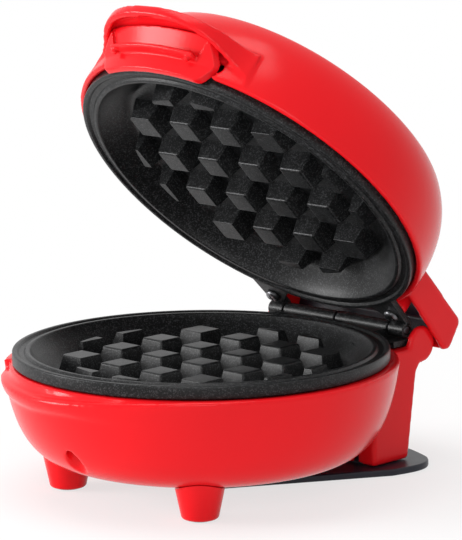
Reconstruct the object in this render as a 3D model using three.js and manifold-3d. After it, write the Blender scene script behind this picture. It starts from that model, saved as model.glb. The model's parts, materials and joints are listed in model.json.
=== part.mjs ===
// Mini waffle maker: a round clamshell cooker with two waffle plates, its lid half open.
// Lengths are in millimetres. +Z is up, the hinge lies at +Y and the handle at -Y.
// The origin is on the table, under the middle of the plates.
// The lid is drawn shut, in the same frame as the base, and then turned about the hinge pin.

import * as THREE from 'three';
import { mergeVertices } from 'three/addons/utils/BufferGeometryUtils.js';
import Module from 'manifold-3d';

const wasm = await Module();
wasm.setup();

// Fits that every piece shares
const seatGap = 0.3;
const wallOverlap = 1;
const overrun = 6;
const farReach = 200;
const weldDistance = 0.0001;

// Roundness of turned and bent shapes, in sides
const shellSides = 40;
const sheetSides = 32;
const postSides = 12;
const screwSides = 8;
const cornerSteps = 3;
const leastCornerShare = 0.5;

// Cooking plates, from the rim inwards
const plateRadius = 66.1;
const platesGap = 0.4;
const rimThickness = 4.6;
const rimEdgeChamfer = 0.5;
const rimLandWidth = 1.7;
const grooveWidth = 3;
const grooveSlope = 0.6;
const grooveDepth = 0.8;
const cavityLandWidth = 1.6;
const cavityWallReach = 7.3;
const cavityDepth = 9.9;
const plateWall = 2.6;
const cavityWallThickness = 1.4;
const backCornerThickness = 1.5;

// Waffle pegs
const pegRows = [2, 4, 6, 6, 4, 2];
const pegPitch = 19.8;
const pegTopWidth = 10;
const pegBaseWidth = 12.6;
const pegHeight = 7.5;
const pegTopSetBack = 4.3;
const pegBaseSetBack = 1.9;

// Posts on the back of each plate, which hold the heat shield
const postCount = 3;
const postSetBack = 13;
const postRadius = 3.2;

// Bosses under the lower plate, which take the screws of the base
const plateScrewSetBack = 5.6;
const plateBossRadius = 3.6;
const plateBossDrop = 3.3;
const rearPlateScrewX = 27;

// Screws
const screwRadius = 1.5;
const screwHeadRadius = 2.8;
const screwHeadHeight = 1.5;
const screwCrossWidth = 0.7;
const screwCrossDepth = 0.8;
const screwCrossLength = 3.4;
const screwBite = 5;

// Heating elements
const elementSetBack = 14;
const elementTubeRadius = 3.2;
const elementSides = 8;
const elementSteps = 28;
const elementOpeningAngle = THREE.MathUtils.degToRad(28);
const terminalPinRadius = 1.4;
const terminalPinLength = 12;

// Heat shields of thin sheet
const shieldClearance = 2.8;
const shieldSlopeReach = 6.4;
const shieldRimSetBack = 0.6;
const shieldRimLift = 0.9;
const shieldSheet = 0.8;

// Thermostat and thermal fuse
const thermostatRadius = 8;
const thermostatHeight = 4;
const thermostatCapRadius = 6.2;
const thermostatCapHeight = 3;
const fuseRadius = 2;
const fuseLength = 13;
const fuseCapRadius = 1.4;
const fuseCapLength = 1.6;
const fuseOffsetY = 14;

// Hinge
const hingeReach = 5.6;
const hingeDrop = 0.9;
const barrelRadius = 2.8;
const pinRadius = 1.5;
const knuckleGap = 0.7;
const innerKnuckleLength = 25;
const outerKnuckleLength = 7;
const leafHalfWidth = 30.5;
const leafLength = 11.3;
const armThickness = 2.4;
const armRootInnerX = 20;
const armRootOuterX = 34;
const armRootInnerLength = 9.9;
const armRootOuterLength = 16.2;
const armScrewX = 29;
const armScrewSetBack = 6.7;
const armScrewBossRadius = 3.8;
const armScrewBossHeight = 7.5;
const lidAngle = THREE.MathUtils.degToRad(45.5);

// Shell of the base: a bowl
const shellWall = 2.2;
const bowlFloorRadius = 46;
const bowlFloorHeight = 10.8;
const wiringSpace = 14.1;
const bowlRimProud = 3.4;
const bowlSteps = 7;
const bowlFloorPullShare = 0.6;
const bowlFloorLiftShare = 0.035;
const bowlSidePullShare = 0.675;
const bowlSideTuck = 3;
const ledgeSetBack = 0.8;
const ledgeHeight = 4;

// Step and lip along the front of the base
const lipHalfAngle = THREE.MathUtils.degToRad(40);
const lipTurn = THREE.MathUtils.degToRad(-8);
const lipReach = 1.5;
const stepDrop = 3.8;
const lipHeight = 5.4;
const lipEdge = 0.5;
const stepWallGap = 0.9;

// Screw columns inside the base
const columnRadius = 5.8;
const screwPocketRadius = 3.2;
const screwPocketHeight = 26;
const columnRibThickness = 2.2;
const columnFootHeight = 13;

// Block at the rear of the base, which stands on the heel plate
const blockHalfWidth = 36;
const blockFrontLength = 21;
const blockHeelSetBack = 2.2;
const blockWaistReach = 2.3;
const blockHeadHeight = 9;
const blockRearReach = 4.1;
const deckDrop = 6;
const earReach = 5.3;
const earDrop = 5.5;
const earRadius = 6.8;
const earThickness = 2.5;
const earSides = 24;
const hingeRecessLength = 14.2;
const hingeRecessHalfWidth = 31.5;
const leadSlotWidth = 10;
const leadSlotSetBack = 1.7;
const leadSlotDepth = 3.5;

// Feet at the front
const footX = 32.6;
const footY = 34.3;
const footBottomRadius = 6.3;
const footTopRadius = 9.6;
const footHeight = 16;
const footEdge = 1;
const footPadLift = 0.4;
const footSpigotRadius = 3.2;
const footSpigotReach = 4;
const footPadRadius = 4.6;
const footPadThickness = 1.5;

// Heel plate on the table
const heelThickness = 2.5;
const heelNoseRadius = 10;
const heelHalfWidth = 45.2;
const heelWidestSetBack = 5.7;
const heelShoulderSetBack = 17.7;
const heelShoulderShare = 0.93;
const heelCornerX = 38;
const heelRearReach = 14.3;
const heelStepHeight = 2;
const heelStepInset = 4;
const heelPostSetBack = 10;
const heelPostRadius = 7;
const heelBossX = 29.8;
const heelBossSetBack = 9.7;
const heelBossRadius = 4.4;
const heelBossHeight = 14;
const heelScrewBite = 7;
const floorBossHeight = 9;
const heelNoseSteps = 4;
const heelCornerSteps = 6;
const heelRearSteps = 4;

// Cord gland in the rear wall, and the terminal block on the floor
const glandHeight = 16;
const glandHoleRadius = 4.6;
const glandFlangeRadius = 6.2;
const glandFlangeThickness = 1.8;
const glandBoreRadius = 2.9;
const terminalBlockSetBack = 16;
const terminalBlockWidth = 28;
const terminalBlockDepth = 9;
const terminalBlockHeight = 8;
const terminalWellRadius = 2.2;
const terminalWellDepth = 4;
const leadRadius = 1.1;
const leadSides = 8;
const leadSteps = 7;
const leadBend = 3;

// Shell of the lid: a dome with a crease below its shallow top
const domeRimProud = 2.6;
const domeRimLift = 2.7;
const domeCreaseSetBack = 7.9;
const domeCreaseDrop = 8.2;
const domeHeadroom = 17.9;
const domeSideSteps = 6;
const domeTopSteps = 5;
const domeSidePullShare = 0.45;
const domeSideBulge = 0.4;
const domeCreasePullShare = 0.8;
const domeCreaseTurnHeight = 7;
const domeCapEdgeSetBack = 11.3;
const domeCapEdgeDrop = 2.3;
const domeCapTopRadius = 28;
const lidLedgeHeight = 2.2;

// Handle visor at the front of the lid: a strap that flares into the dome, and a roof over it
const visorHalfWidth = 30.9;
const visorSideSetBack = 12.9;
const visorReach = 26.6;
const visorRoundness = 2.34;
const visorFlare = 9.4;
const visorFlareSharpness = 8;
const visorSteps = 20;
const visorCrowdingShare = 0.8;
const visorStrap = 2.4;
const visorRidgeRise = 13.4;
const visorRoofRise = 1.5;
const visorRoof = 2.2;
const visorEndRise = 1;
const visorBandDepth = 3.5;
const visorEdgeSharpness = 3.5;
const visorEdgeCrowding = 1.5;
const visorEdgeSteps = 6;

// Liner behind the handle: skirt, finger ledge and back panel
const linerWall = 1.8;
const linerSkirtProud = 0.2;
const linerSkirtDrop = 3;
const linerSkirtHalfWidth = 22.6;
const linerSkirtCorner = 4;
const linerHalfWidth = 27;
const linerFlareRise = 5;
const linerStepProud = 1;
const linerStepRise = 2.3;
const linerKneeProud = 2.7;
const linerKneeRise = 4.2;
const linerTopProud = 6.7;
const linerTopRise = 10.2;
const linerLedgeProud = 5;
const linerLedgeThickness = 1.6;
const linerLedgeHalfWidth = 19;
const linerStudRadius = 1.5;
const linerStudHeight = 2.6;
const linerStudX = 18;
const linerStudProud = 2.2;
const linerNotchGap = 0.5;
const linerBossX = 13;
const linerBossSetBack = 3.8;
const linerBossRadius = 2.6;
const linerBossHeight = 4.4;
const linerScrewLength = 5;

// Hood at the rear of the lid, open below
const hoodHalfWidth = 38.6;
const hoodWall = 2.2;
const hoodRearReach = 18.4;
const hoodRearLean = 2.4;
const hoodRearChamfer = 2.3;
const hoodFrontLength = 21.7;
const hoodRise = 18.9;
const hoodTopFall = 1.5;
const hoodLowClimb = 3.2;
const hoodRearLowRise = 4.1;
const hoodCorner = 3;
const hoodCoverThickness = 1.2;
const hoodCoverReach = 2.3;
const hoodCoverLift = 3.4;
const lidSlotRise = 10;

// Indicator light in the top of the lid
const lampY = 30;
const lensRadius = 3.4;
const lensRise = 1.2;
const lensFlangeRadius = 5;
const lensFlangeThickness = 1.4;
const lampRadius = 2.4;
const lampLength = 8;

// Heights and places that follow from the sizes above
const shieldDepth = cavityDepth + plateWall + seatGap + 2 * elementTubeRadius + shieldClearance;
const shieldRimDepth = cavityDepth + plateWall + shieldRimLift;
const lowerFaceHeight = bowlFloorHeight + shellWall + wiringSpace + shieldSheet + shieldDepth;
const grooveOuterRadius = plateRadius - rimLandWidth;
const grooveInnerRadius = grooveOuterRadius - grooveWidth;
const cavityMouthRadius = grooveInnerRadius - cavityLandWidth;
const cavityFloorRadius = cavityMouthRadius - cavityWallReach;
const rimInnerSeatRadius = cavityMouthRadius + cavityWallThickness;
const plateBackRadius = cavityFloorRadius + backCornerThickness;
const pegTrimTopRadius = cavityFloorRadius - pegTopSetBack;
const pegTrimBaseRadius = cavityFloorRadius - pegBaseSetBack;
const plateScrewCircleRadius = plateRadius - plateScrewSetBack;
const shieldRimRadius = plateBackRadius - shieldRimSetBack;
const shieldFloorRadius = shieldRimRadius - shieldSlopeReach;
const hingeY = plateRadius + hingeReach;
const hingeHeight = lowerFaceHeight - hingeDrop;
const leafInnerY = hingeY - leafLength;
const armRootInnerY = hingeY - armRootInnerLength;
const armRootOuterY = hingeY - armRootOuterLength;
const armScrewY = hingeY - armScrewSetBack;
const bowlTopRadius = plateRadius + bowlRimProud;
const bowlTopHeight = lowerFaceHeight - rimThickness;
const ledgeInnerRadius = rimInnerSeatRadius + ledgeSetBack;
const lipTopHeight = bowlTopHeight - stepDrop;
const stepWallRadius = plateRadius + stepWallGap;
const blockFrontY = hingeY - blockFrontLength;
const blockHeelY = hingeY - blockHeelSetBack;
const blockWaistY = hingeY + blockWaistReach;
const deckHeight = hingeHeight - deckDrop;
const blockWaistHeight = deckHeight - blockHeadHeight;
const blockRearY = hingeY + blockRearReach;
const earY = hingeY + earReach;
const earHeight = hingeHeight - earDrop;
const hingeRecessY = hingeY - hingeRecessLength;
const leadSlotY = hingeY - leadSlotSetBack;
const heelWidestY = hingeY - heelWidestSetBack;
const heelShoulderY = hingeY - heelShoulderSetBack;
const heelRearRadius = hingeY + heelRearReach;
const heelBossY = hingeY - heelBossSetBack;
const domeRimRadius = plateRadius + domeRimProud;
const upperFaceHeight = lowerFaceHeight + platesGap;
const domeRimHeight = upperFaceHeight + domeRimLift;
const domeTopHeight = upperFaceHeight + shieldDepth + domeHeadroom;
const domeCreaseRadius = domeRimRadius - domeCreaseSetBack;
const domeCreaseHeight = domeTopHeight - domeCreaseDrop;
const domeCapEdgeRadius = domeCreaseRadius - domeCapEdgeSetBack;
const visorSideY = domeRimRadius - visorSideSetBack;
const visorRidgeHeight = domeRimHeight + visorRidgeRise;
const visorRoofBackHeight = visorRidgeHeight + visorRoofRise;
const visorEndHeight = domeRimHeight + visorEndRise;
const visorFrontEdgeHeight = visorRidgeHeight - visorBandDepth;
const linerSkirtRadius = domeRimRadius + linerSkirtProud;
const linerSkirtHeight = domeRimHeight - linerSkirtDrop;
const linerFlareHeight = domeRimHeight + linerFlareRise;
const linerStepRadius = domeRimRadius + linerStepProud;
const linerStepHeight = domeRimHeight + linerStepRise;
const linerKneeRadius = domeRimRadius + linerKneeProud;
const linerKneeHeight = domeRimHeight + linerKneeRise;
const linerTopRadius = domeRimRadius + linerTopProud;
const linerTopHeight = domeRimHeight + linerTopRise;
const linerLedgeRadius = domeRimRadius + linerLedgeProud;
const linerStudY = Math.sqrt((domeRimRadius + linerStudProud) ** 2 - linerStudX ** 2);
const linerBossY = Math.sqrt((domeRimRadius - linerBossSetBack) ** 2 - linerBossX ** 2);
const hoodRearY = hingeY + hoodRearReach;
const hoodRearTopY = hoodRearY - hoodRearLean;
const hoodFrontY = hingeY - hoodFrontLength;
const hoodFrontTopHeight = hingeHeight + hoodRise;
const hoodRearTopHeight = hoodFrontTopHeight - hoodTopFall;
const hoodRearLowHeight = hingeHeight + hoodRearLowRise;
const hoodFrontLowHeight = hoodRearLowHeight + hoodLowClimb;
const hoodCoverFrontY = hingeY + hoodCoverReach;
const hoodCoverLowHeight = hoodRearLowHeight + hoodCoverLift;
const lidSlotHeight = hingeHeight + lidSlotRise;
const ledgeTop = lowerFaceHeight - rimThickness - seatGap;
const leafTop = hingeHeight - barrelRadius - seatGap;
const columnTop = lowerFaceHeight - rimThickness - plateBossDrop - seatGap;
const lidLedgeFloor = upperFaceHeight + rimThickness + seatGap;
const blockFloor = heelThickness + seatGap;
const heelScrewSeat = seatGap / 2 + screwHeadHeight;
const terminalBlockFloor = bowlFloorHeight + shellWall + seatGap;
const visorFrontY = -visorSideY - visorReach;
const rearPlateScrewY = Math.sqrt(plateScrewCircleRadius ** 2 - rearPlateScrewX ** 2);
const knuckleInnerEdge = knuckleGap / 2;
const outerKnuckleEdge = knuckleInnerEdge + innerKnuckleLength + knuckleGap;
const blockRearLean = Math.atan2(blockWaistY - blockHeelY, blockWaistHeight - blockFloor);
const elementCircleRadius = plateBackRadius - elementSetBack;
const postCircleRadius = elementCircleRadius - postSetBack;
const terminalBlockY = elementCircleRadius - terminalBlockSetBack;
const heelPostY = terminalBlockY - heelPostSetBack;

// Colours and finishes
const finishes = {
  redGloss: { color: 0xe3182c, roughness: 0.22, metalness: 0 },
  blackCoat: { color: 0x232426, roughness: 0.55, metalness: 0.1 },
  blackPlastic: { color: 0x15181f, roughness: 0.45, metalness: 0 },
  rubber: { color: 0x2a2a2a, roughness: 0.9, metalness: 0 },
  steel: { color: 0xb9bcc0, roughness: 0.35, metalness: 1 },
  sheet: { color: 0xcdd0d3, roughness: 0.4, metalness: 1 },
  nylon: { color: 0xe9e6dc, roughness: 0.6, metalness: 0 },
  lead: { color: 0xf1efe9, roughness: 0.7, metalness: 0 },
  lens: { color: 0xff6a1e, roughness: 0.1, metalness: 0 },
};

// Solids

function isEmptyTriangle(a, b, c) {
  return a === b || b === c || c === a;
}

function signedVolume(points, triangles) {
  const corner = (i) => new THREE.Vector3().fromArray(points, i * 3);
  let volume = 0;
  for (let i = 0; i < triangles.length; i += 3) {
    const [a, b, c] = [corner(triangles[i]), corner(triangles[i + 1]), corner(triangles[i + 2])];
    volume += a.dot(b.cross(c));
  }
  return volume;
}

// A closed geometry as a solid that can be joined and cut, its faces pointing out.
function toSolid(geometry) {
  const bare = geometry.clone();
  for (const name of Object.keys(bare.attributes)) {
    if (name !== 'position') bare.deleteAttribute(name);
  }
  const merged = mergeVertices(bare, weldDistance);
  const points = merged.getAttribute('position').array;
  const triangles = [];
  for (let i = 0; i < merged.index.count; i += 3) {
    const [a, b, c] = [merged.index.getX(i), merged.index.getX(i + 1), merged.index.getX(i + 2)];
    if (!isEmptyTriangle(a, b, c)) triangles.push(a, b, c);
  }
  if (signedVolume(points, triangles) < 0) triangles.reverse();
  const mesh = new wasm.Mesh({
    numProp: 3,
    vertProperties: new Float32Array(points),
    triVerts: new Uint32Array(triangles),
  });
  return new wasm.Manifold(mesh);
}

function toGeometry(solid) {
  const mesh = solid.getMesh();
  const geometry = new THREE.BufferGeometry();
  geometry.setAttribute('position', new THREE.Float32BufferAttribute(mesh.vertProperties, 3));
  geometry.setIndex(Array.from(mesh.triVerts));
  geometry.computeVertexNormals();
  return geometry;
}

function join(first, ...others) {
  return others.reduce((solid, other) => solid.add(other), first);
}

function cut(first, ...others) {
  return others.reduce((solid, other) => solid.subtract(other), first);
}

function common(first, ...others) {
  return others.reduce((solid, other) => solid.intersect(other), first);
}

// A profile of [radius, height] points turned about the Z axis.
function turned(profile, sides) {
  const points = profile.map(([radius, height]) => new THREE.Vector2(Math.max(radius, 0), height));
  return toSolid(new THREE.LatheGeometry(points, sides).rotateX(Math.PI / 2));
}

// A closed ring or disc, from a profile that need not repeat its first point.
function turnedRing(profile, sides) {
  return turned([...profile, profile[0]], sides);
}

// An upright round post, which may taper.
function post(x, y, low, high, radius, sides = postSides, highRadius = radius) {
  const geometry = new THREE.CylinderGeometry(highRadius, radius, high - low, sides);
  geometry.rotateX(Math.PI / 2);
  geometry.translate(x, y, (low + high) / 2);
  return toSolid(geometry);
}

function box(xFrom, xTo, yFrom, yTo, zFrom, zTo) {
  const geometry = new THREE.BoxGeometry(xTo - xFrom, yTo - yFrom, zTo - zFrom);
  geometry.translate((xFrom + xTo) / 2, (yFrom + yTo) / 2, (zFrom + zTo) / 2);
  return toSolid(geometry);
}

// An outline of [u, v] or [u, v, corner radius] points, with its corners rounded by short arcs.
function outline(points) {
  const result = [];
  points.forEach(([u, v, radius = 0], i) => {
    const here = new THREE.Vector2(u, v);
    if (radius === 0) {
      result.push(here);
      return;
    }
    const [beforeU, beforeV] = points[(i + points.length - 1) % points.length];
    const [afterU, afterV] = points[(i + 1) % points.length];
    const toBefore = new THREE.Vector2(beforeU, beforeV).sub(here).normalize();
    const toAfter = new THREE.Vector2(afterU, afterV).sub(here).normalize();
    const halfAngle = Math.acos(THREE.MathUtils.clamp(toBefore.dot(toAfter), -1, 1)) / 2;
    const setBack = radius / Math.tan(halfAngle);
    const start = here.clone().addScaledVector(toBefore, setBack);
    const end = here.clone().addScaledVector(toAfter, setBack);
    const arc = new THREE.QuadraticBezierCurve(start, here, end);
    result.push(...arc.getPoints(cornerSteps));
  });
  return new THREE.Shape(result);
}

function extruded(shape, length) {
  return new THREE.ExtrudeGeometry(shape, { depth: length, bevelEnabled: false });
}

// An outline of [x, y] points, raised from one height to another.
function plan(points, low, high) {
  return toSolid(extruded(outline(points), high - low).translate(0, 0, low));
}

// An outline of [y, z] points, drawn out along X.
function side(points, xFrom, xTo) {
  const turn = new THREE.Matrix4().makeBasis(
    new THREE.Vector3(0, 1, 0),
    new THREE.Vector3(0, 0, 1),
    new THREE.Vector3(1, 0, 0),
  );
  return toSolid(extruded(outline(points), xTo - xFrom).applyMatrix4(turn).translate(xFrom, 0, 0));
}

// An outline of [x, z] points, drawn out along Y.
function front(points, yFrom, yTo) {
  const turn = new THREE.Matrix4().makeBasis(
    new THREE.Vector3(1, 0, 0),
    new THREE.Vector3(0, 0, 1),
    new THREE.Vector3(0, -1, 0),
  );
  return toSolid(extruded(outline(points), yTo - yFrom).applyMatrix4(turn).translate(0, yTo, 0));
}

// A round rod along X.
function crossRod(xFrom, xTo, y, z, radius, sides = postSides) {
  const geometry = new THREE.CylinderGeometry(radius, radius, xTo - xFrom, sides);
  geometry.rotateZ(Math.PI / 2);
  geometry.translate((xFrom + xTo) / 2, y, z);
  return toSolid(geometry);
}

// A round rod bent along 3-D points.
function bentRod(points, radius, sides, steps) {
  const section = new THREE.Shape();
  section.absarc(0, 0, radius, 0, 2 * Math.PI, false);
  const path = new THREE.CatmullRomCurve3(points);
  return toSolid(
    new THREE.ExtrudeGeometry(section, { steps, extrudePath: path, curveSegments: sides / 2 }),
  );
}

function curvePoints(corners, steps) {
  const [a, b, c, d] = corners.map(([u, v]) => new THREE.Vector2(u, v));
  return new THREE.CubicBezierCurve(a, b, c, d).getPoints(steps).map((p) => [p.x, p.y]);
}

// A profile moved to its left by a distance, as a wall of even thickness needs.
function shifted(profile, distance) {
  const direction = (from, to) => new THREE.Vector2(to[0] - from[0], to[1] - from[1]).normalize();
  return profile.map(([radius, height], i) => {
    const into = direction(profile[Math.max(i - 1, 0)], profile[Math.max(i, 1)]);
    const last = profile.length - 1;
    const out = direction(profile[Math.min(i, last - 1)], profile[Math.min(i + 1, last)]);
    const along = into.clone().add(out).normalize();
    const stretch = distance / Math.max(along.dot(into), leastCornerShare);
    const moved = radius - along.y * stretch;
    return [radius === 0 ? 0 : moved, height + along.x * stretch];
  });
}

function mirroredSides(build) {
  return [build(-1, 'left'), build(1, 'right')];
}

function around(count, radius, startAngle, place) {
  return Array.from({ length: count }, (_, i) => {
    const angle = startAngle + (i * 2 * Math.PI) / count;
    return place(radius * Math.cos(angle), radius * Math.sin(angle), i);
  });
}

function piece(name, solid, finish) {
  const mesh = new THREE.Mesh(toGeometry(solid), new THREE.MeshStandardMaterial(finishes[finish]));
  mesh.name = name;
  return mesh;
}

// Screws

// A pan-head screw along Z with its head's underside at a height; way is +1 where it points up.
function screw(name, x, y, headHeight, length, way) {
  const at = (distance) => headHeight + way * distance;
  const domeShoulder = screwHeadHeight / 2;
  const profile = [
    [0, at(length)],
    [screwRadius, at(length)],
    [screwRadius, at(0)],
    [screwHeadRadius, at(0)],
    [screwHeadRadius, at(-domeShoulder)],
    [screwHeadRadius * Math.SQRT1_2, at(-screwHeadHeight)],
    [0, at(-screwHeadHeight)],
  ];
  const bars = [
    [screwCrossLength, screwCrossWidth],
    [screwCrossWidth, screwCrossLength],
  ].map(([wide, deep]) => {
    const crossFloor = at(screwCrossDepth - screwHeadHeight);
    const clear = at(-screwHeadHeight - overrun);
    const low = Math.min(crossFloor, clear);
    const high = Math.max(crossFloor, clear);
    return box(-wide / 2, wide / 2, -deep / 2, deep / 2, low, high);
  });
  const mesh = piece(name, cut(turned(profile, screwSides), ...bars), 'steel');
  mesh.position.set(x, y, 0);
  return mesh;
}

// Cooking plates

// The plate's profile, its face at a height and its back on the side that way points to.
function plateProfile(face, way) {
  const at = (depth) => face + way * depth;
  return [
    [0, at(cavityDepth)],
    [cavityFloorRadius, at(cavityDepth)],
    [cavityMouthRadius, at(rimEdgeChamfer)],
    [cavityMouthRadius + rimEdgeChamfer, at(0)],
    [grooveInnerRadius, at(0)],
    [grooveInnerRadius + grooveSlope, at(grooveDepth)],
    [grooveOuterRadius - grooveSlope, at(grooveDepth)],
    [grooveOuterRadius, at(0)],
    [plateRadius - rimEdgeChamfer, at(0)],
    [plateRadius, at(rimEdgeChamfer)],
    [plateRadius, at(rimThickness)],
    [rimInnerSeatRadius, at(rimThickness)],
    [plateBackRadius, at(cavityDepth + plateWall)],
    [0, at(cavityDepth + plateWall)],
  ];
}

function peg(x, y, face, way) {
  const floor = face + way * cavityDepth;
  const drop = (pegBaseWidth - pegTopWidth) * (wallOverlap / pegHeight);
  const baseRadius = (pegBaseWidth + drop) * Math.SQRT1_2;
  const topRadius = pegTopWidth * Math.SQRT1_2;
  const length = pegHeight + wallOverlap;
  const geometry = new THREE.CylinderGeometry(topRadius, baseRadius, length, 4);
  geometry.rotateY(Math.PI / 4);
  geometry.rotateX((-way * Math.PI) / 2);
  geometry.translate(x, y, floor + way * (wallOverlap - length / 2));
  return toSolid(geometry);
}

function pegs(face, way) {
  return pegRows.flatMap((count, row) => {
    const y = (row - (pegRows.length - 1) / 2) * pegPitch;
    return Array.from({ length: count }, (_, i) => peg((i - (count - 1) / 2) * pegPitch, y, face, way));
  });
}

// A round block that trims the outer pegs, so that a groove runs between them and the side wall.
function pegTrim(face, way) {
  const at = (depth) => face + way * depth;
  return turned(
    [
      [0, at(cavityDepth + plateWall)],
      [pegTrimBaseRadius, at(cavityDepth + plateWall)],
      [pegTrimBaseRadius, at(cavityDepth)],
      [pegTrimTopRadius, at(cavityDepth - pegHeight)],
      [pegTrimTopRadius, at(0)],
      [0, at(0)],
    ],
    shellSides,
  );
}

function boltPost(x, y, face, way) {
  const root = face + way * (cavityDepth + plateWall / 2);
  const tip = face + way * (shieldDepth - seatGap);
  return post(x, y, Math.min(root, tip), Math.max(root, tip), postRadius);
}

function boltHole(x, y, face, way) {
  const tip = face + way * (shieldDepth + overrun);
  const end = face + way * (shieldDepth - screwBite - seatGap);
  return post(x, y, Math.min(tip, end), Math.max(tip, end), screwRadius + seatGap, screwSides);
}

function waffleFace(face, way) {
  const body = turned(plateProfile(face, way), shellSides);
  const block = common(join(...pegs(face, way)), pegTrim(face, way));
  const bolts = around(postCount, postCircleRadius, -Math.PI / 2, (x, y) => [x, y]);
  return cut(
    join(body, block, ...bolts.map(([x, y]) => boltPost(x, y, face, way))),
    ...bolts.map(([x, y]) => boltHole(x, y, face, way)),
  );
}

function pinBore() {
  return crossRod(-farReach, farReach, hingeY, hingeHeight, pinRadius + seatGap);
}

function lowerPlateScrewPlaces() {
  return [
    ['front', 0, -plateScrewCircleRadius],
    ['rear_left', -rearPlateScrewX, rearPlateScrewY],
    ['rear_right', rearPlateScrewX, rearPlateScrewY],
  ];
}

// The lower plate carries the two long middle knuckles on a thick leaf.
function lowerPlate() {
  const seat = lowerFaceHeight - rimThickness;
  const bosses = lowerPlateScrewPlaces().map(([, x, y]) =>
    post(x, y, seat - plateBossDrop, seat + wallOverlap, plateBossRadius),
  );
  const holes = lowerPlateScrewPlaces().map(([, x, y]) =>
    post(x, y, seat - overrun, seat + plateBossDrop / 2, screwRadius + seatGap, screwSides),
  );
  const leafFloor = deckHeight + seatGap;
  const leaf = side(
    [
      [leafInnerY, leafFloor],
      [hingeY, leafFloor],
      [hingeY + barrelRadius / 2, leafTop],
      [leafInnerY, leafTop],
    ],
    -leafHalfWidth,
    leafHalfWidth,
  );
  const outside = turned(
    [
      [0, leafFloor - overrun],
      [plateRadius - wallOverlap, leafFloor - overrun],
      [plateRadius - wallOverlap, hingeHeight + overrun],
      [0, hingeHeight + overrun],
    ],
    shellSides,
  );
  const knuckles = mirroredSides((hand) => {
    const edges = [hand * knuckleInnerEdge, hand * (knuckleInnerEdge + innerKnuckleLength)];
    const [xFrom, xTo] = edges.sort((a, b) => a - b);
    const web = box(xFrom, xTo, leafInnerY, hingeY, leafTop - wallOverlap, hingeHeight);
    return join(crossRod(xFrom, xTo, hingeY, hingeHeight, barrelRadius), web);
  });
  const hinge = cut(join(leaf, ...knuckles), outside);
  return cut(join(waffleFace(lowerFaceHeight, -1), ...bosses, hinge), ...holes, pinBore());
}

// The upper plate reaches back with two flat arms, each with a short outer knuckle.
function upperPlate() {
  const armFloor = upperFaceHeight;
  const neckY = hingeY - barrelRadius - knuckleGap;
  const arms = mirroredSides((hand) => {
    const inner = outerKnuckleEdge;
    const outer = outerKnuckleEdge + outerKnuckleLength;
    const flat = plan(
      [
        [hand * armRootInnerX, armRootInnerY],
        [hand * armRootOuterX, armRootOuterY],
        [hand * outer, neckY],
        [hand * outer, hingeY],
        [hand * inner, hingeY],
        [hand * inner, neckY],
      ],
      armFloor,
      armFloor + armThickness,
    );
    const xFrom = Math.min(hand * inner, hand * outer);
    return join(flat, crossRod(xFrom, xFrom + outerKnuckleLength, hingeY, hingeHeight, barrelRadius));
  });
  const holes = mirroredSides((hand) =>
    post(
      hand * armScrewX,
      armScrewY,
      armFloor - overrun,
      armFloor + overrun,
      screwRadius + seatGap,
      screwSides,
    ),
  );
  return cut(join(waffleFace(upperFaceHeight, 1), ...arms), ...holes, pinBore());
}

// Parts behind each plate

function elementHeight(face, way) {
  return face + way * (cavityDepth + plateWall + seatGap + elementTubeRadius);
}

function elementEnds(place) {
  const half = elementOpeningAngle / 2;
  return [Math.PI / 2 + half, Math.PI / 2 - half].map((angle) =>
    place(elementCircleRadius * Math.cos(angle), elementCircleRadius * Math.sin(angle)),
  );
}

function heatingElement(face, way) {
  const height = elementHeight(face, way);
  const start = Math.PI / 2 + elementOpeningAngle / 2;
  const sweep = 2 * Math.PI - elementOpeningAngle;
  const points = Array.from({ length: elementSteps + 1 }, (_, i) => {
    const angle = start + (sweep * i) / elementSteps;
    const [x, y] = [elementCircleRadius * Math.cos(angle), elementCircleRadius * Math.sin(angle)];
    return new THREE.Vector3(x, y, height);
  });
  const tip = height + way * terminalPinLength;
  const pins = elementEnds((x, y) =>
    post(x, y, Math.min(height, tip), Math.max(height, tip), terminalPinRadius, screwSides),
  );
  const knobs = elementEnds((x, y) =>
    post(x, y, height - elementTubeRadius / 2, height + elementTubeRadius / 2, elementTubeRadius, screwSides),
  );
  return join(bentRod(points, elementTubeRadius, elementSides, elementSteps), ...pins, ...knobs);
}

function heatShield(face, way) {
  const at = (depth) => face + way * depth;
  const pan = turned(
    [
      [0, at(shieldDepth)],
      [shieldFloorRadius, at(shieldDepth)],
      [shieldRimRadius, at(shieldRimDepth)],
      [shieldRimRadius + shieldSheet, at(shieldRimDepth)],
      [shieldFloorRadius + shieldSheet / 2, at(shieldDepth + shieldSheet)],
      [0, at(shieldDepth + shieldSheet)],
    ],
    sheetSides,
  );
  const low = Math.min(at(0), at(shieldDepth + overrun));
  const high = Math.max(at(0), at(shieldDepth + overrun));
  const clearance = 2 * seatGap;
  const boltHoles = around(postCount, postCircleRadius, -Math.PI / 2, (x, y) =>
    post(x, y, low, high, screwRadius + seatGap, screwSides),
  );
  const pinHoles = elementEnds((x, y) => post(x, y, low, high, terminalPinRadius + clearance, screwSides));
  return cut(pan, ...boltHoles, ...pinHoles);
}

function shieldScrews(half, face, way) {
  const headSeat = face + way * (shieldDepth + shieldSheet + seatGap);
  const length = screwBite + shieldSheet;
  return around(postCount, postCircleRadius, -Math.PI / 2, (x, y, i) =>
    screw(`${half}_shield_screw_${i + 1}`, x, y, headSeat, length, -way),
  );
}

function thermostat() {
  const seat = upperFaceHeight + cavityDepth + plateWall + seatGap;
  const body = post(0, 0, seat, seat + thermostatHeight, thermostatRadius, sheetSides / 2);
  const capFloor = seat + thermostatHeight - seatGap;
  const cap = post(0, 0, capFloor, capFloor + thermostatCapHeight, thermostatCapRadius, sheetSides / 2);
  return join(body, cap);
}

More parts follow.
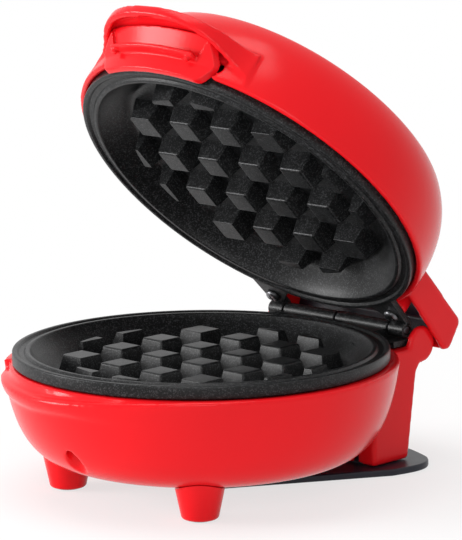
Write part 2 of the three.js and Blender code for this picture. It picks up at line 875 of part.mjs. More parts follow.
function thermalFuse() {
  const height = lowerFaceHeight - cavityDepth - plateWall - seatGap - fuseRadius;
  const half = fuseLength / 2;
  const body = crossRod(-half, half, fuseOffsetY, height, fuseRadius, screwSides);
  const reach = half + fuseCapLength;
  return join(body, crossRod(-reach, reach, fuseOffsetY, height, fuseCapRadius, screwSides));
}

// Base

function bowlProfile() {
  const rise = bowlTopHeight - bowlFloorHeight;
  const reach = bowlTopRadius - bowlFloorRadius;
  return [
    [0, bowlFloorHeight],
    ...curvePoints(
      [
        [bowlFloorRadius, bowlFloorHeight],
        [bowlFloorRadius + bowlFloorPullShare * reach, bowlFloorHeight + bowlFloorLiftShare * rise],
        [bowlTopRadius - bowlSideTuck, bowlTopHeight - bowlSidePullShare * rise],
        [bowlTopRadius, bowlTopHeight],
      ],
      bowlSteps,
    ),
  ];
}

// The bowl as a filled body, moved out or in by a distance from its outer face.
function bowlBody(growth, lidHeight) {
  const profile = shifted(bowlProfile(), -growth);
  const [topRadius] = profile[profile.length - 1];
  return turned([...profile, [topRadius, lidHeight], [0, lidHeight]], shellSides);
}

// A disc set forward of the bowl's axis, so that it stands out at the front and fades at its ends.
function lipBody() {
  const shift = lipReach / (1 - Math.cos(lipHalfAngle));
  const radius = bowlTopRadius + lipReach - shift;
  const profile = [
    [0, lipTopHeight - lipHeight],
    [radius - lipReach, lipTopHeight - lipHeight],
    [radius, lipTopHeight - lipHeight + lipReach],
    [radius, lipTopHeight - lipEdge],
    [radius - lipEdge, lipTopHeight],
    [0, lipTopHeight],
  ];
  const points = profile.map(([r, z]) => new THREE.Vector2(r, z));
  const disc = new THREE.LatheGeometry(points, shellSides).rotateX(Math.PI / 2);
  return toSolid(disc.translate(0, -shift, 0).rotateZ(lipTurn));
}

// The sector of the front that the lip takes up.
function lipSector(low, high) {
  const ends = [lipTurn - lipHalfAngle, lipTurn + lipHalfAngle];
  const corners = ends.map((angle) => [farReach * Math.sin(angle), -farReach * Math.cos(angle)]);
  return plan([[0, 0], ...corners], low, high);
}

function lipStepCut() {
  const high = bowlTopHeight + overrun;
  const ring = turnedRing(
    [
      [stepWallRadius, lipTopHeight],
      [bowlTopRadius + overrun, lipTopHeight],
      [bowlTopRadius + overrun, high],
      [stepWallRadius, high],
    ],
    shellSides,
  );
  return common(ring, lipSector(lipTopHeight - overrun, high + overrun));
}

function blockOuter() {
  const body = side(
    [
      [blockFrontY, blockFloor],
      [blockHeelY, blockFloor],
      [blockWaistY, blockWaistHeight],
      [blockRearY, blockWaistHeight + shellWall],
      [blockRearY, deckHeight],
      [blockFrontY, deckHeight],
    ],
    -blockHalfWidth,
    blockHalfWidth,
  );
  const ears = mirroredSides((hand) => {
    const edges = [hand * blockHalfWidth, hand * (blockHalfWidth - earThickness)];
    const [xFrom, xTo] = edges.sort((a, b) => a - b);
    return crossRod(xFrom, xTo, earY, earHeight, earRadius, earSides);
  });
  return join(body, ...ears);
}

function blockInner() {
  const inset = shellWall / Math.cos(blockRearLean);
  return side(
    [
      [blockFrontY + shellWall, blockFloor - overrun],
      [blockHeelY - inset - overrun * Math.tan(blockRearLean), blockFloor - overrun],
      [blockWaistY - inset, blockWaistHeight],
      [blockRearY - shellWall, blockWaistHeight + shellWall],
      [blockRearY - shellWall, deckHeight - shellWall],
      [blockFrontY + shellWall, deckHeight - shellWall],
    ],
    shellWall - blockHalfWidth,
    blockHalfWidth - shellWall,
  );
}

function seatLedge() {
  const inner = bowlTopRadius - shellWall;
  return turnedRing(
    [
      [ledgeInnerRadius, ledgeTop - ledgeHeight],
      [inner + shellWall / 4, ledgeTop - ledgeHeight],
      [inner + shellWall / 4, ledgeTop],
      [ledgeInnerRadius, ledgeTop],
    ],
    shellSides,
  );
}

function screwColumns() {
  return lowerPlateScrewPlaces().map(([place, x, y]) => {
    const foot = place === 'front' ? bowlFloorHeight : columnFootHeight;
    const column = post(x, y, foot, columnTop, columnRadius);
    if (place === 'front') return column;
    const half = columnRibThickness / 2;
    const sideWall = Math.sign(x) * (blockHalfWidth - shellWall / 2);
    const rib = box(Math.min(x, sideWall), Math.max(x, sideWall), y - half, y + half, foot, columnTop);
    return join(column, rib);
  });
}

// The space that the lower plate's sloping back needs inside the shell.
function plateBackSpace() {
  const back = lowerFaceHeight - cavityDepth - plateWall - seatGap;
  const seat = lowerFaceHeight - rimThickness - seatGap;
  return turned(
    [
      [0, back],
      [plateBackRadius + seatGap, back],
      [rimInnerSeatRadius + seatGap, seat],
      [rimInnerSeatRadius + seatGap, bowlTopHeight + overrun],
      [0, bowlTopHeight + overrun],
    ],
    shellSides,
  );
}

function columnHoles() {
  return lowerPlateScrewPlaces().flatMap(([, x, y]) => [
    post(x, y, -overrun, screwPocketHeight, screwPocketRadius),
    post(x, y, screwPocketHeight - wallOverlap, columnTop + overrun, screwRadius + seatGap, screwSides),
    post(x, y, columnTop, bowlTopHeight + overrun, plateBossRadius + seatGap),
  ]);
}

function heelBosses() {
  const blockBosses = mirroredSides((hand) =>
    post(
      hand * heelBossX,
      heelBossY,
      heelThickness + heelStepHeight + seatGap,
      heelThickness + heelBossHeight,
      heelBossRadius,
    ),
  );
  const floorBoss = post(0, heelPostY, bowlFloorHeight, bowlFloorHeight + floorBossHeight, heelBossRadius);
  return [...blockBosses, floorBoss];
}

function heelScrewPlaces() {
  return [
    ['front', 0, heelPostY],
    ['left', -heelBossX, heelBossY],
    ['right', heelBossX, heelBossY],
  ];
}

function heelScrewLength(place) {
  const bossFoot = place === 'front' ? bowlFloorHeight : heelThickness + heelStepHeight + seatGap;
  return bossFoot + heelScrewBite - heelScrewSeat;
}

function footHole(hand) {
  const x = hand * footX;
  return post(x, -footY, 0, bowlFloorHeight + overrun, footSpigotRadius + seatGap);
}

function glandFrame() {
  const share = (glandHeight - blockFloor) / (blockWaistHeight - blockFloor);
  const y = THREE.MathUtils.lerp(blockHeelY, blockWaistY, share);
  const frame = new THREE.Matrix4().makeRotationX(-blockRearLean);
  return frame.setPosition(0, y, glandHeight);
}

// A shape turned about the cord's axis; its profile is [radius, distance out from the wall].
function alongCord(profile) {
  const points = profile.map(([r, out]) => new THREE.Vector2(r, out));
  return toSolid(new THREE.LatheGeometry(points, postSides).applyMatrix4(glandFrame()));
}

function glandHole() {
  const hole = [
    [0, -overrun],
    [glandHoleRadius, -overrun],
    [glandHoleRadius, overrun],
    [0, overrun],
  ];
  return alongCord(hole);
}

function baseShell() {
  const outside = join(bowlBody(0, bowlTopHeight), lipBody(), blockOuter());
  const hollow = join(bowlBody(-shellWall, bowlTopHeight + overrun), blockInner());
  const hingeRecess = box(
    -hingeRecessHalfWidth,
    hingeRecessHalfWidth,
    hingeRecessY,
    hingeY + farReach,
    deckHeight,
    bowlTopHeight + overrun,
  );
  const leadSlot = box(
    -leadSlotWidth / 2,
    leadSlotWidth / 2,
    leadSlotY,
    leadSlotY + leadSlotDepth,
    deckHeight - shellWall - overrun,
    deckHeight + overrun,
  );
  const heelHoles = heelScrewPlaces().map(([place, x, y]) => {
    const end = heelScrewSeat + heelScrewLength(place) + seatGap;
    return post(x, y, blockFloor, end, screwRadius + seatGap, screwSides);
  });
  const inside = common(
    join(seatLedge(), ...screwColumns(), ...heelBosses()),
    join(bowlBody(-shellWall / 2, bowlTopHeight), blockOuter()),
  );
  return cut(
    join(cut(outside, hollow), inside),
    hingeRecess,
    lipStepCut(),
    leadSlot,
    glandHole(),
    plateBackSpace(),
    ...columnHoles(),
    ...heelHoles,
    footHole(-1),
    footHole(1),
  );
}

function frontFoot(hand) {
  const [x, y] = [hand * footX, -footY];
  const slope = (footTopRadius - footBottomRadius) / footHeight;
  const edged = turned(
    [
      [0, footPadLift],
      [footBottomRadius - footEdge, footPadLift],
      [footBottomRadius + slope * footEdge, footPadLift + footEdge],
      [footTopRadius, footHeight],
      [0, footHeight],
    ],
    sheetSides,
  );
  const cone = toSolid(toGeometry(edged).translate(x, y, 0));
  const spigot = post(x, y, footHeight / 2, bowlFloorHeight + footSpigotReach, footSpigotRadius);
  const padSeat = post(x, y, -overrun, footPadThickness + seatGap, footPadRadius + seatGap, postSides);
  return cut(join(cut(cone, bowlBody(seatGap, bowlTopHeight)), spigot), padSeat);
}

function footPad(hand) {
  return post(hand * footX, -footY, 0, footPadThickness, footPadRadius, postSides);
}

// The fan-shaped plate that the rear of the base stands on, with its locating step and front post.
function heelPlate() {
  const nose = Array.from({ length: heelNoseSteps + 1 }, (_, i) => {
    const angle = Math.PI * (i / heelNoseSteps);
    return [-heelNoseRadius * Math.cos(angle), -heelNoseRadius * Math.sin(angle)];
  });
  const shoulder = [heelShoulderShare * heelHalfWidth, heelShoulderY];
  const cornerY = Math.sqrt(heelRearRadius ** 2 - heelCornerX ** 2);
  const corner = new THREE.CubicBezierCurve(
    new THREE.Vector2(...shoulder),
    new THREE.Vector2(heelHalfWidth, heelWidestY),
    new THREE.Vector2(heelHalfWidth, (heelWidestY + cornerY) / 2),
    new THREE.Vector2(heelCornerX, cornerY),
  );
  const cornerPoints = corner.getPoints(heelCornerSteps).map((p) => [p.x, p.y]);
  const halfSweep = Math.asin(heelCornerX / heelRearRadius);
  const rear = Array.from({ length: heelRearSteps }, (_, i) => {
    const angle = halfSweep * (1 - (i + 1) / heelRearSteps);
    return [heelRearRadius * Math.sin(angle), heelRearRadius * Math.cos(angle)];
  });
  const right = [...cornerPoints, ...rear];
  const left = right.slice(0, -1).reverse().map(([x, y]) => [-x, y]);
  const fan = plan([...right, ...left, ...nose], 0, heelThickness);
  const stepHalf = blockHalfWidth - shellWall - seatGap;
  const leanInset = heelStepHeight * Math.tan(blockRearLean);
  const step = box(
    -stepHalf,
    stepHalf,
    blockFrontY + shellWall + seatGap,
    blockHeelY - heelStepInset - leanInset,
    heelThickness - wallOverlap,
    heelThickness + heelStepHeight,
  );
  const seat = post(0, heelPostY, heelThickness - wallOverlap, bowlFloorHeight - seatGap, heelPostRadius);
  const holes = heelScrewPlaces().flatMap(([, x, y]) => [
    post(x, y, -overrun, bowlFloorHeight + overrun, screwRadius + seatGap, screwSides),
    post(x, y, -overrun, seatGap + screwHeadHeight, screwHeadRadius + seatGap, postSides),
  ]);
  return cut(join(fan, step, seat), ...holes);
}

function cordGland() {
  const outer = seatGap + glandFlangeThickness;
  const innerSide = -shellWall - seatGap;
  return alongCord([
    [glandBoreRadius, outer],
    [glandFlangeRadius, outer],
    [glandFlangeRadius, seatGap],
    [glandHoleRadius - seatGap, seatGap],
    [glandHoleRadius - seatGap, innerSide],
    [glandFlangeRadius, innerSide],
    [glandFlangeRadius, innerSide - glandFlangeThickness],
    [glandBoreRadius, innerSide - glandFlangeThickness],
    [glandBoreRadius, outer],
  ]);
}

// The wells for the leads open in the rear face of the block.
function terminalBlock() {
  const half = terminalBlockWidth / 2;
  const rearY = terminalBlockY + terminalBlockDepth / 2;
  const high = terminalBlockFloor + terminalBlockHeight;
  const body = box(-half, half, rearY - terminalBlockDepth, rearY, terminalBlockFloor, high);
  const wellHeight = terminalBlockFloor + terminalBlockHeight / 2;
  const wells = elementEnds((x) => {
    const ends = [rearY - terminalWellDepth, rearY + overrun];
    return bentRod(ends.map((y) => new THREE.Vector3(x, y, wellHeight)), terminalWellRadius, leadSides, 1);
  });
  return cut(body, ...wells);
}

// A lead from a well of the terminal block back and up to an end of the lower element.
function lead(x, y) {
  const height = terminalBlockFloor + terminalBlockHeight / 2;
  const rearY = terminalBlockY + terminalBlockDepth / 2;
  const pinEnd = elementHeight(lowerFaceHeight, -1) - terminalPinLength - seatGap;
  const points = [
    new THREE.Vector3(x, rearY - terminalWellDepth + seatGap, height),
    new THREE.Vector3(x, rearY + seatGap, height),
    new THREE.Vector3(x, y - leadBend, height),
    new THREE.Vector3(x, y, pinEnd - leadBend),
    new THREE.Vector3(x, y, pinEnd),
  ];
  return bentRod(points, leadRadius, leadSides, leadSteps);
}

function hingePin() {
  const half = outerKnuckleEdge + outerKnuckleLength;
  return crossRod(-half, half, hingeY, hingeHeight, pinRadius);
}

function baseScrews() {
  const plateScrewLength = lowerFaceHeight - rimThickness - screwPocketHeight;
  const plateScrews = lowerPlateScrewPlaces().map(([place, x, y]) =>
    screw(`plate_screw_${place}`, x, y, screwPocketHeight - seatGap, plateScrewLength, 1),
  );
  const heelScrews = heelScrewPlaces().map(([place, x, y]) =>
    screw(`heel_screw_${place}`, x, y, heelScrewSeat, heelScrewLength(place), 1),
  );
  return [...plateScrews, ...heelScrews];
}

// Lid, drawn shut

function domeProfile() {
  const rise = domeCreaseHeight - domeRimHeight;
  const side = curvePoints(
    [
      [domeRimRadius, domeRimHeight],
      [domeRimRadius + domeSideBulge, domeRimHeight + domeSidePullShare * rise],
      [
        THREE.MathUtils.lerp(domeCreaseRadius, domeRimRadius, domeCreasePullShare),
        domeCreaseHeight - domeCreaseTurnHeight,
      ],
      [domeCreaseRadius, domeCreaseHeight],
    ],
    domeSideSteps,
  );
  const cap = curvePoints(
    [
      [domeCreaseRadius, domeCreaseHeight],
      [domeCapEdgeRadius, domeTopHeight - domeCapEdgeDrop],
      [domeCapTopRadius, domeTopHeight],
      [0, domeTopHeight],
    ],
    domeTopSteps,
  );
  return [...side, ...cap.slice(1)];
}

function domeBody(inset) {
  const profile = shifted(domeProfile(), inset);
  const [rimRadius] = profile[0];
  const floor = inset > 0 ? domeRimHeight - overrun : domeRimHeight;
  return turned([[0, floor], [rimRadius, floor], ...profile], shellSides);
}

// The visor's outline ahead of the dome, from the left side round the front to the right.
function visorPlan(inset, flare) {
  const across = visorHalfWidth - inset;
  const ahead = visorReach - inset;
  const power = 2 / visorRoundness;
  return Array.from({ length: visorSteps + 1 }, (_, i) => {
    const turn = (2 * Math.PI * i) / visorSteps;
    const angle = (turn - visorCrowdingShare * Math.sin(turn)) / 2;
    const sine = Math.max(Math.sin(angle), 0);
    const spread = flare * (1 - sine) ** visorFlareSharpness;
    const x = across * Math.abs(Math.cos(angle)) ** power + spread;
    return [-Math.sign(Math.cos(angle)) * x, -visorSideY - ahead * sine ** power];
  });
}

// Height of the visor's roof at a place along Y.
function visorRoofHeight(y) {
  const share = (y - visorFrontY) / (-visorSideY - visorFrontY);
  return THREE.MathUtils.lerp(visorRidgeHeight, visorRoofBackHeight, share);
}

// The visor's lower edge climbs steeply beside the dome and levels out towards the front.
function visorLowerEdge() {
  return Array.from({ length: visorEdgeSteps + 1 }, (_, i) => {
    const share = (i / visorEdgeSteps) ** visorEdgeCrowding;
    const drop = (1 - share) ** visorEdgeSharpness;
    return [
      THREE.MathUtils.lerp(-visorSideY, visorFrontY, share),
      THREE.MathUtils.lerp(visorFrontEdgeHeight, visorEndHeight, drop),
    ];
  });
}

function visorOuter() {
  const ahead = visorFrontY - overrun;
  const back = -visorSideY + overrun;
  const section = side(
    [
      [back, visorEndHeight],
      ...visorLowerEdge(),
      [ahead, visorFrontEdgeHeight],
      [ahead, visorRoofHeight(ahead)],
      [back, visorRoofHeight(back)],
    ],
    -farReach,
    farReach,
  );
  const low = visorEndHeight - overrun;
  return common(plan(visorPlan(0, visorFlare), low, visorRoofBackHeight + overrun), section);
}

function visorInner() {
  const ahead = visorFrontY - overrun;
  const back = -visorSideY + overrun;
  const low = visorEndHeight - 2 * overrun;
  const section = side(
    [
      [back, low],
      [ahead, low],
      [ahead, visorRoofHeight(ahead) - visorRoof],
      [back, visorRoofHeight(back) - visorRoof],
    ],
    -farReach,
    farReach,
  );
  return common(plan(visorPlan(visorStrap, 0), low, visorRoofBackHeight + overrun), section);
}

function hoodOuter() {
  return side(
    [
      [hoodFrontY, hoodFrontLowHeight],
      [hoodRearY - hoodRearChamfer, hoodRearLowHeight],
      [hoodRearY, hoodRearLowHeight + hoodRearChamfer],
      [hoodRearTopY, hoodRearTopHeight, hoodCorner],
      [hoodFrontY, hoodFrontTopHeight],
    ],
    -hoodHalfWidth,
    hoodHalfWidth,
  );
}

function hoodInner() {
  const corner = hoodCorner / 2;
  return side(
    [
      [hoodFrontY, hoodRearLowHeight - overrun],
      [hoodRearY - hoodWall, hoodRearLowHeight - overrun],
      [hoodRearY - hoodWall, hoodRearLowHeight + hoodRearChamfer],
      [hoodRearTopY - hoodWall, hoodRearTopHeight - hoodWall, corner],
      [hoodFrontY, hoodFrontTopHeight - hoodWall],
    ],
    hoodWall - hoodHalfWidth,
    hoodHalfWidth - hoodWall,
  );
}

// A thin black cover against the ceiling and the rear wall inside the hood.
function hoodCover() {
  const rear = hoodRearY - hoodWall - seatGap;
  const rearTop = hoodRearTopY - hoodWall - seatGap;
  const ceilingAt = (y) => {
    const share = (y - hoodFrontY) / (hoodRearTopY - hoodWall - hoodFrontY);
    return THREE.MathUtils.lerp(hoodFrontTopHeight, hoodRearTopHeight, share) - hoodWall - seatGap;
  };
  const half = hoodHalfWidth - hoodWall - seatGap;
  return side(
    [
      [rear, hoodCoverLowHeight],
      [rearTop, ceilingAt(rearTop), hoodCorner],
      [hoodCoverFrontY, ceilingAt(hoodCoverFrontY)],
      [hoodCoverFrontY, ceilingAt(hoodCoverFrontY) - hoodCoverThickness],
      [rearTop - hoodCoverThickness, ceilingAt(rearTop) - hoodCoverThickness, hoodCorner / 2],
      [rear - hoodCoverThickness, hoodCoverLowHeight],
    ],
    -half,
    half,
  );
}

function lidLedge() {
  const outer = domeRimRadius - shellWall / 2;
  return turnedRing(
    [
      [ledgeInnerRadius, lidLedgeFloor],
      [outer, lidLedgeFloor],
      [outer, lidLedgeFloor + lidLedgeHeight],
      [ledgeInnerRadius, lidLedgeFloor + lidLedgeHeight],
    ],
    shellSides,
  );
}

// The opening in the dome's front wall that the liner fills.
function linerNotch() {
  const half = linerHalfWidth + linerNotchGap;
  const low = domeRimHeight - overrun;
  const ahead = -domeRimRadius - wallOverlap;
  const block = box(-half, half, ahead, -ledgeInnerRadius + overrun, low, linerTopHeight);
  const core = turned(
    [
      [0, low - overrun],
      [domeRimRadius - shellWall - seatGap, low - overrun],
      [domeRimRadius - shellWall - seatGap, linerTopHeight + overrun],
      [0, linerTopHeight + overrun],
    ],
    shellSides,
  );
  return cut(block, core);
}

function lidShell() {
  const dome = domeBody(0);
  const pockets = cut(join(visorInner(), hoodInner()), dome);
  const walls = cut(join(dome, visorOuter(), hoodOuter()), domeBody(shellWall), pockets);
  const bossFoot = upperFaceHeight + armThickness + seatGap;
  const screwBosses = mirroredSides((hand) =>
    post(
      hand * armScrewX,
      armScrewY,
      bossFoot,
      bossFoot + armScrewBossHeight,
      armScrewBossRadius,
    ),
  );
  const screwHoles = mirroredSides((hand) =>
    post(
      hand * armScrewX,
      armScrewY,
      bossFoot - overrun,
      bossFoot + screwBite + seatGap,
      screwRadius + seatGap,
      screwSides,
    ),
  );
  const leadSlot = box(
    -leadSlotWidth / 2,
    leadSlotWidth / 2,
    ledgeInnerRadius,
    hingeY,
    lidSlotHeight,
    lidSlotHeight + leadSlotDepth,
  );
  const lensHole = post(0, -lampY, domeCreaseHeight, domeTopHeight + overrun, lensRadius + seatGap);
  const linerHoles = mirroredSides((hand) => [hand * linerBossX, -linerBossY]).flatMap(([x, y]) => [
    post(x, y, lidLedgeFloor - overrun, lidLedgeFloor + overrun, screwRadius + seatGap, screwSides),
    post(
      x,
      y,
      lidLedgeFloor - overrun,
      lidLedgeFloor + screwHeadHeight + seatGap,
      screwHeadRadius + seatGap,
    ),
  ]);
  return cut(
    join(walls, lidLedge(), ...screwBosses),
    linerNotch(),
    ...screwHoles,
    leadSlot,
    lensHole,
    ...linerHoles,
  );
}

function linerOutline() {
  return [
    [-linerSkirtHalfWidth, linerSkirtHeight, linerSkirtCorner],
    [linerSkirtHalfWidth, linerSkirtHeight, linerSkirtCorner],
    [linerHalfWidth, linerFlareHeight],
    [linerHalfWidth, linerTopHeight + overrun],
    [-linerHalfWidth, linerTopHeight + overrun],
    [-linerHalfWidth, linerFlareHeight],
  ];
}

function handleLiner() {
  const panel = turnedRing(
    [
      [linerSkirtRadius, linerSkirtHeight],
      [linerStepRadius, linerStepHeight],
      [linerKneeRadius, linerKneeHeight],
      [linerTopRadius, linerTopHeight],
      [linerTopRadius - linerWall, linerTopHeight],
      [linerKneeRadius - linerWall, linerKneeHeight],
      [linerStepRadius - linerWall, linerStepHeight],
      [linerSkirtRadius - linerWall, linerSkirtHeight],
    ],
    shellSides,
  );
  const insideVisor = plan(
    visorPlan(visorStrap + seatGap, 0),
    linerSkirtHeight - overrun,
    linerTopHeight + overrun,
  );
  const behindPanel = turnedRing(
    [
      [linerSkirtRadius - wallOverlap, linerSkirtHeight],
      [linerStepRadius - wallOverlap, linerStepHeight],
      [linerKneeRadius - wallOverlap, linerKneeHeight],
      [linerTopRadius - wallOverlap, linerTopHeight],
      [linerSkirtRadius - linerWall, linerTopHeight],
      [linerSkirtRadius - linerWall, linerSkirtHeight],
    ],
    shellSides,
  );
  const middle = box(
    linerWall - linerHalfWidth,
    linerHalfWidth - linerWall,
    -farReach,
    0,
    linerSkirtHeight - overrun,
    linerTopHeight + overrun,
  );
  const flanks = cut(behindPanel, middle);
  const shaped = common(
    join(panel, flanks),
    front(linerOutline(), -farReach, -ledgeInnerRadius / 2),
    insideVisor,
  );
  const ledgeFloor = linerKneeHeight - linerLedgeThickness;
  const ledge = turnedRing(
    [
      [linerStepRadius - linerWall / 2, ledgeFloor],
      [linerLedgeRadius, ledgeFloor],
      [linerLedgeRadius, linerKneeHeight],
      [linerStepRadius - linerWall / 2, linerKneeHeight],
    ],
    shellSides,
  );
  const half = linerLedgeHalfWidth;
  const ledgeSpan = box(-half, half, -farReach, -ledgeInnerRadius, ledgeFloor - overrun, farReach);
  const studs = mirroredSides((hand) =>
    post(
      hand * linerStudX,
      -linerStudY,
      linerKneeHeight - linerLedgeThickness,
      linerKneeHeight + linerStudHeight,
      linerStudRadius,
      screwSides,
    ),
  );
  const bossFoot = lidLedgeFloor + lidLedgeHeight + seatGap;
  const bosses = mirroredSides((hand) => {
    const x = hand * linerBossX;
    const boss = post(x, -linerBossY, bossFoot, bossFoot + linerBossHeight, linerBossRadius);
    const web = box(
      x - linerWall / 2,
      x + linerWall / 2,
      -linerKneeRadius + linerWall,
      -linerBossY,
      bossFoot,
      bossFoot + linerBossHeight,
    );
    return join(boss, web);
  });
  const holes = mirroredSides((hand) =>
    post(
      hand * linerBossX,
      -linerBossY,
      bossFoot - overrun,
      lidLedgeFloor + screwHeadHeight + linerScrewLength + seatGap,
      screwRadius + seatGap,
      screwSides,
    ),
  );
  return cut(join(shaped, common(ledge, ledgeSpan), ...studs, ...bosses), ...holes);
}

function lidScrews() {
  const armScrews = mirroredSides((hand, name) =>
    screw(
      `arm_screw_${name}`,
      hand * armScrewX,
      armScrewY,
      upperFaceHeight - seatGap,
      armThickness + screwBite,
      1,
    ),
  );
  const linerScrews = mirroredSides((hand, name) =>
    screw(
      `liner_screw_${name}`,
      hand * linerBossX,
      -linerBossY,
      lidLedgeFloor + screwHeadHeight,
      linerScrewLength,
      1,
    ),
  );
  return [...armScrews, ...linerScrews];
}

// Height of the dome's outer face above a place at a distance from its axis.
function domeHeightAt(radius) {
  const profile = domeProfile();
  const i = profile.findIndex(([r]) => r <= radius);
  const [[r1, z1], [r2, z2]] = [profile[i - 1], profile[i]];
  return THREE.MathUtils.mapLinear(radius, r1, r2, z1, z2);
}

function indicatorLens() {
  const top = domeHeightAt(lampY);
  const inner = domeHeightAt(lampY + lensFlangeRadius) - shellWall - seatGap;
  const profile = [
    [0, inner - lensFlangeThickness],
    [lensFlangeRadius, inner - lensFlangeThickness],
    [lensFlangeRadius, inner],
    [lensRadius, inner],
    [lensRadius, top],
    [lensRadius / 2, top + lensRise],
    [0, top + lensRise],
  ];
  const points = profile.map(([r, z]) => new THREE.Vector2(r, z));
  const geometry = new THREE.LatheGeometry(points, postSides).rotateX(Math.PI / 2);
  return toSolid(geometry.translate(0, -lampY, 0));
}

function indicatorLamp() {
  const top = domeHeightAt(lampY + lensFlangeRadius) - shellWall - lensFlangeThickness - 2 * seatGap;
  const shoulder = lampRadius / 2;
  return join(
    post(0, -lampY, top - lampLength, top - shoulder, lampRadius),
    post(0, -lampY, top - shoulder, top, lampRadius, postSides, shoulder),
  );
}

// Assembly

function baseGroup() {
  const group = new THREE.Group();
  group.add(
    piece('base_shell', baseShell(), 'redGloss'),
    piece('front_foot_left', frontFoot(-1), 'redGloss'),
    piece('front_foot_right', frontFoot(1), 'redGloss'),
    piece('foot_pad_left', footPad(-1), 'rubber'),
    piece('foot_pad_right', footPad(1), 'rubber'),
    piece('heel_plate', heelPlate(), 'blackPlastic'),
    piece('lower_cooking_plate', lowerPlate(), 'blackCoat'),
    piece('lower_heating_element', heatingElement(lowerFaceHeight, -1), 'steel'),
    piece('lower_heat_shield', heatShield(lowerFaceHeight, -1), 'sheet'),
    ...shieldScrews('lower', lowerFaceHeight, -1),
    piece('thermal_fuse', thermalFuse(), 'nylon'),
    piece('terminal_block', terminalBlock(), 'nylon'),
    ...elementEnds((x, y) => piece(x < 0 ? 'lead_left' : 'lead_right', lead(x, y), 'lead')),
    piece('cord_gland', cordGland(), 'blackPlastic'),
    piece('hinge_pin', hingePin(), 'steel'),
    ...baseScrews(),
  );
  return group;
}

function lidGroup() {
  const shut = new THREE.Group();
  shut.position.set(0, -hingeY, -hingeHeight);
  shut.add(
    piece('lid_shell', lidShell(), 'redGloss'),
    piece('handle_liner', handleLiner(), 'redGloss'),
    piece('hood_cover', hoodCover(), 'blackPlastic'),
    piece('upper_cooking_plate', upperPlate(), 'blackCoat'),
    piece('upper_heating_element', heatingElement(upperFaceHeight, 1), 'steel'),
    piece('upper_heat_shield', heatShield(upperFaceHeight, 1), 'sheet'),
    ...shieldScrews('upper', upperFaceHeight, 1),
    piece('thermostat', thermostat(), 'sheet'),
    piece('indicator_lens', indicatorLens(), 'lens'),
    piece('indicator_lamp', indicatorLamp(), 'nylon'),
    ...lidScrews(),
  );
  const pivot = new THREE.Group();
  pivot.position.set(0, hingeY, hingeHeight);
  pivot.rotation.x = -lidAngle;
  pivot.add(shut);
  return pivot;
}

const waffleMaker = new THREE.Group();
waffleMaker.add(baseGroup(), lidGroup());

export default waffleMaker;
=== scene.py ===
"""The looks of a mini waffle maker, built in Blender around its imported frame.

The base and lid are modelled from the frame's sizes, given finishes and made to ride on their bodies.
Lengths are in millimetres until a mesh is made, and the lid is modelled shut and then laid open.
"""

import json
import logging
import math
from collections.abc import Callable
from dataclasses import dataclass, field
from enum import Enum, IntEnum

import bpy
from mathutils import Matrix, Vector

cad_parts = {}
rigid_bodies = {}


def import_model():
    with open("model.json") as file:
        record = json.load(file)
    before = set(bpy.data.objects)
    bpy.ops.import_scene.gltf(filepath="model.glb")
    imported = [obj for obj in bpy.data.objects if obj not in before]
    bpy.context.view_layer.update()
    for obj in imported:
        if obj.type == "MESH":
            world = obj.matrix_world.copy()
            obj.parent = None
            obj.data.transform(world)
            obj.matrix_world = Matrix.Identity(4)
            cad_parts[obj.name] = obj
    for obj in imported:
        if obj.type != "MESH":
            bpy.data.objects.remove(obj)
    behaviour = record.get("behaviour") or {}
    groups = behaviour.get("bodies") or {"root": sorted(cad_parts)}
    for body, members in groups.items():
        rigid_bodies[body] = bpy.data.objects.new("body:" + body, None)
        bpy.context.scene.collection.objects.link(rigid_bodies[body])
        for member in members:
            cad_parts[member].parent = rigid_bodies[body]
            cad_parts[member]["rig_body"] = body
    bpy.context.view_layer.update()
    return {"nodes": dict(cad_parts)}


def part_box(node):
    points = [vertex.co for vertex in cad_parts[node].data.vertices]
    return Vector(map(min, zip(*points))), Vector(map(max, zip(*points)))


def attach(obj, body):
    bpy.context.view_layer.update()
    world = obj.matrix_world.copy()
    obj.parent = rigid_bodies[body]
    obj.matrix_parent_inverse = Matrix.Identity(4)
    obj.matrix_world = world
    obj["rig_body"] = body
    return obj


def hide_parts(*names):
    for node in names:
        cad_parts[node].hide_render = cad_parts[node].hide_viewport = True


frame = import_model()

LOG = logging.getLogger("waffle_maker")
MM = 0.001
FULL_TURN = 2 * math.pi
HANDS = (-1, 1)
Point = tuple[float, float, float]
Place = tuple[float, float]
Outline = list[Place]
Piece = bpy.types.Object
Socket = bpy.types.NodeSocket

# A length past every form, a cut's reach past a face, and the distance under which points merge.
FAR = 200.0
OVERRUN = 6.0
WELD = 0.001

# Radius of the screws' holes and of the sinks for their heads, and how deep they bite.
SCREW_HOLE = 1.8
SCREW_SINK = 3.1
SCREW_BITE = 5.3

# A colour mix's sockets, the strongest of the handling marks, and how much smoother a clear coat is.
MIX_FIRST, MIX_SECOND, MIX_RESULT = 6, 7, 2
STRONGEST_MARK = 0.25
COAT_SMOOTHER = 3


class Body(Enum):
    """The two bodies of the frame."""

    BASE = "base"
    LID = "lid"


class Boolean(Enum):
    """Ways to combine two solids."""

    JOIN = "UNION"
    CUT = "DIFFERENCE"
    COMMON = "INTERSECT"


class Facets(IntEnum):
    """How many flat sides stand for a round form of each kind."""

    SCREW = 24
    BOSS = 32
    SHAFT = 40
    CAP = 48
    POST = 64
    FOOT = 72
    DRUM = 96
    BOWL = 160
    PLATE = 192
    LINER = 200


class Coat(IntEnum):
    """Slots of the plates' coats: on the faces, on eased edges with a painted highlight, and on the rim's
    side with speckles and a painted sheen.
    """

    FACE = 0
    EDGE = 1
    RIM = 2


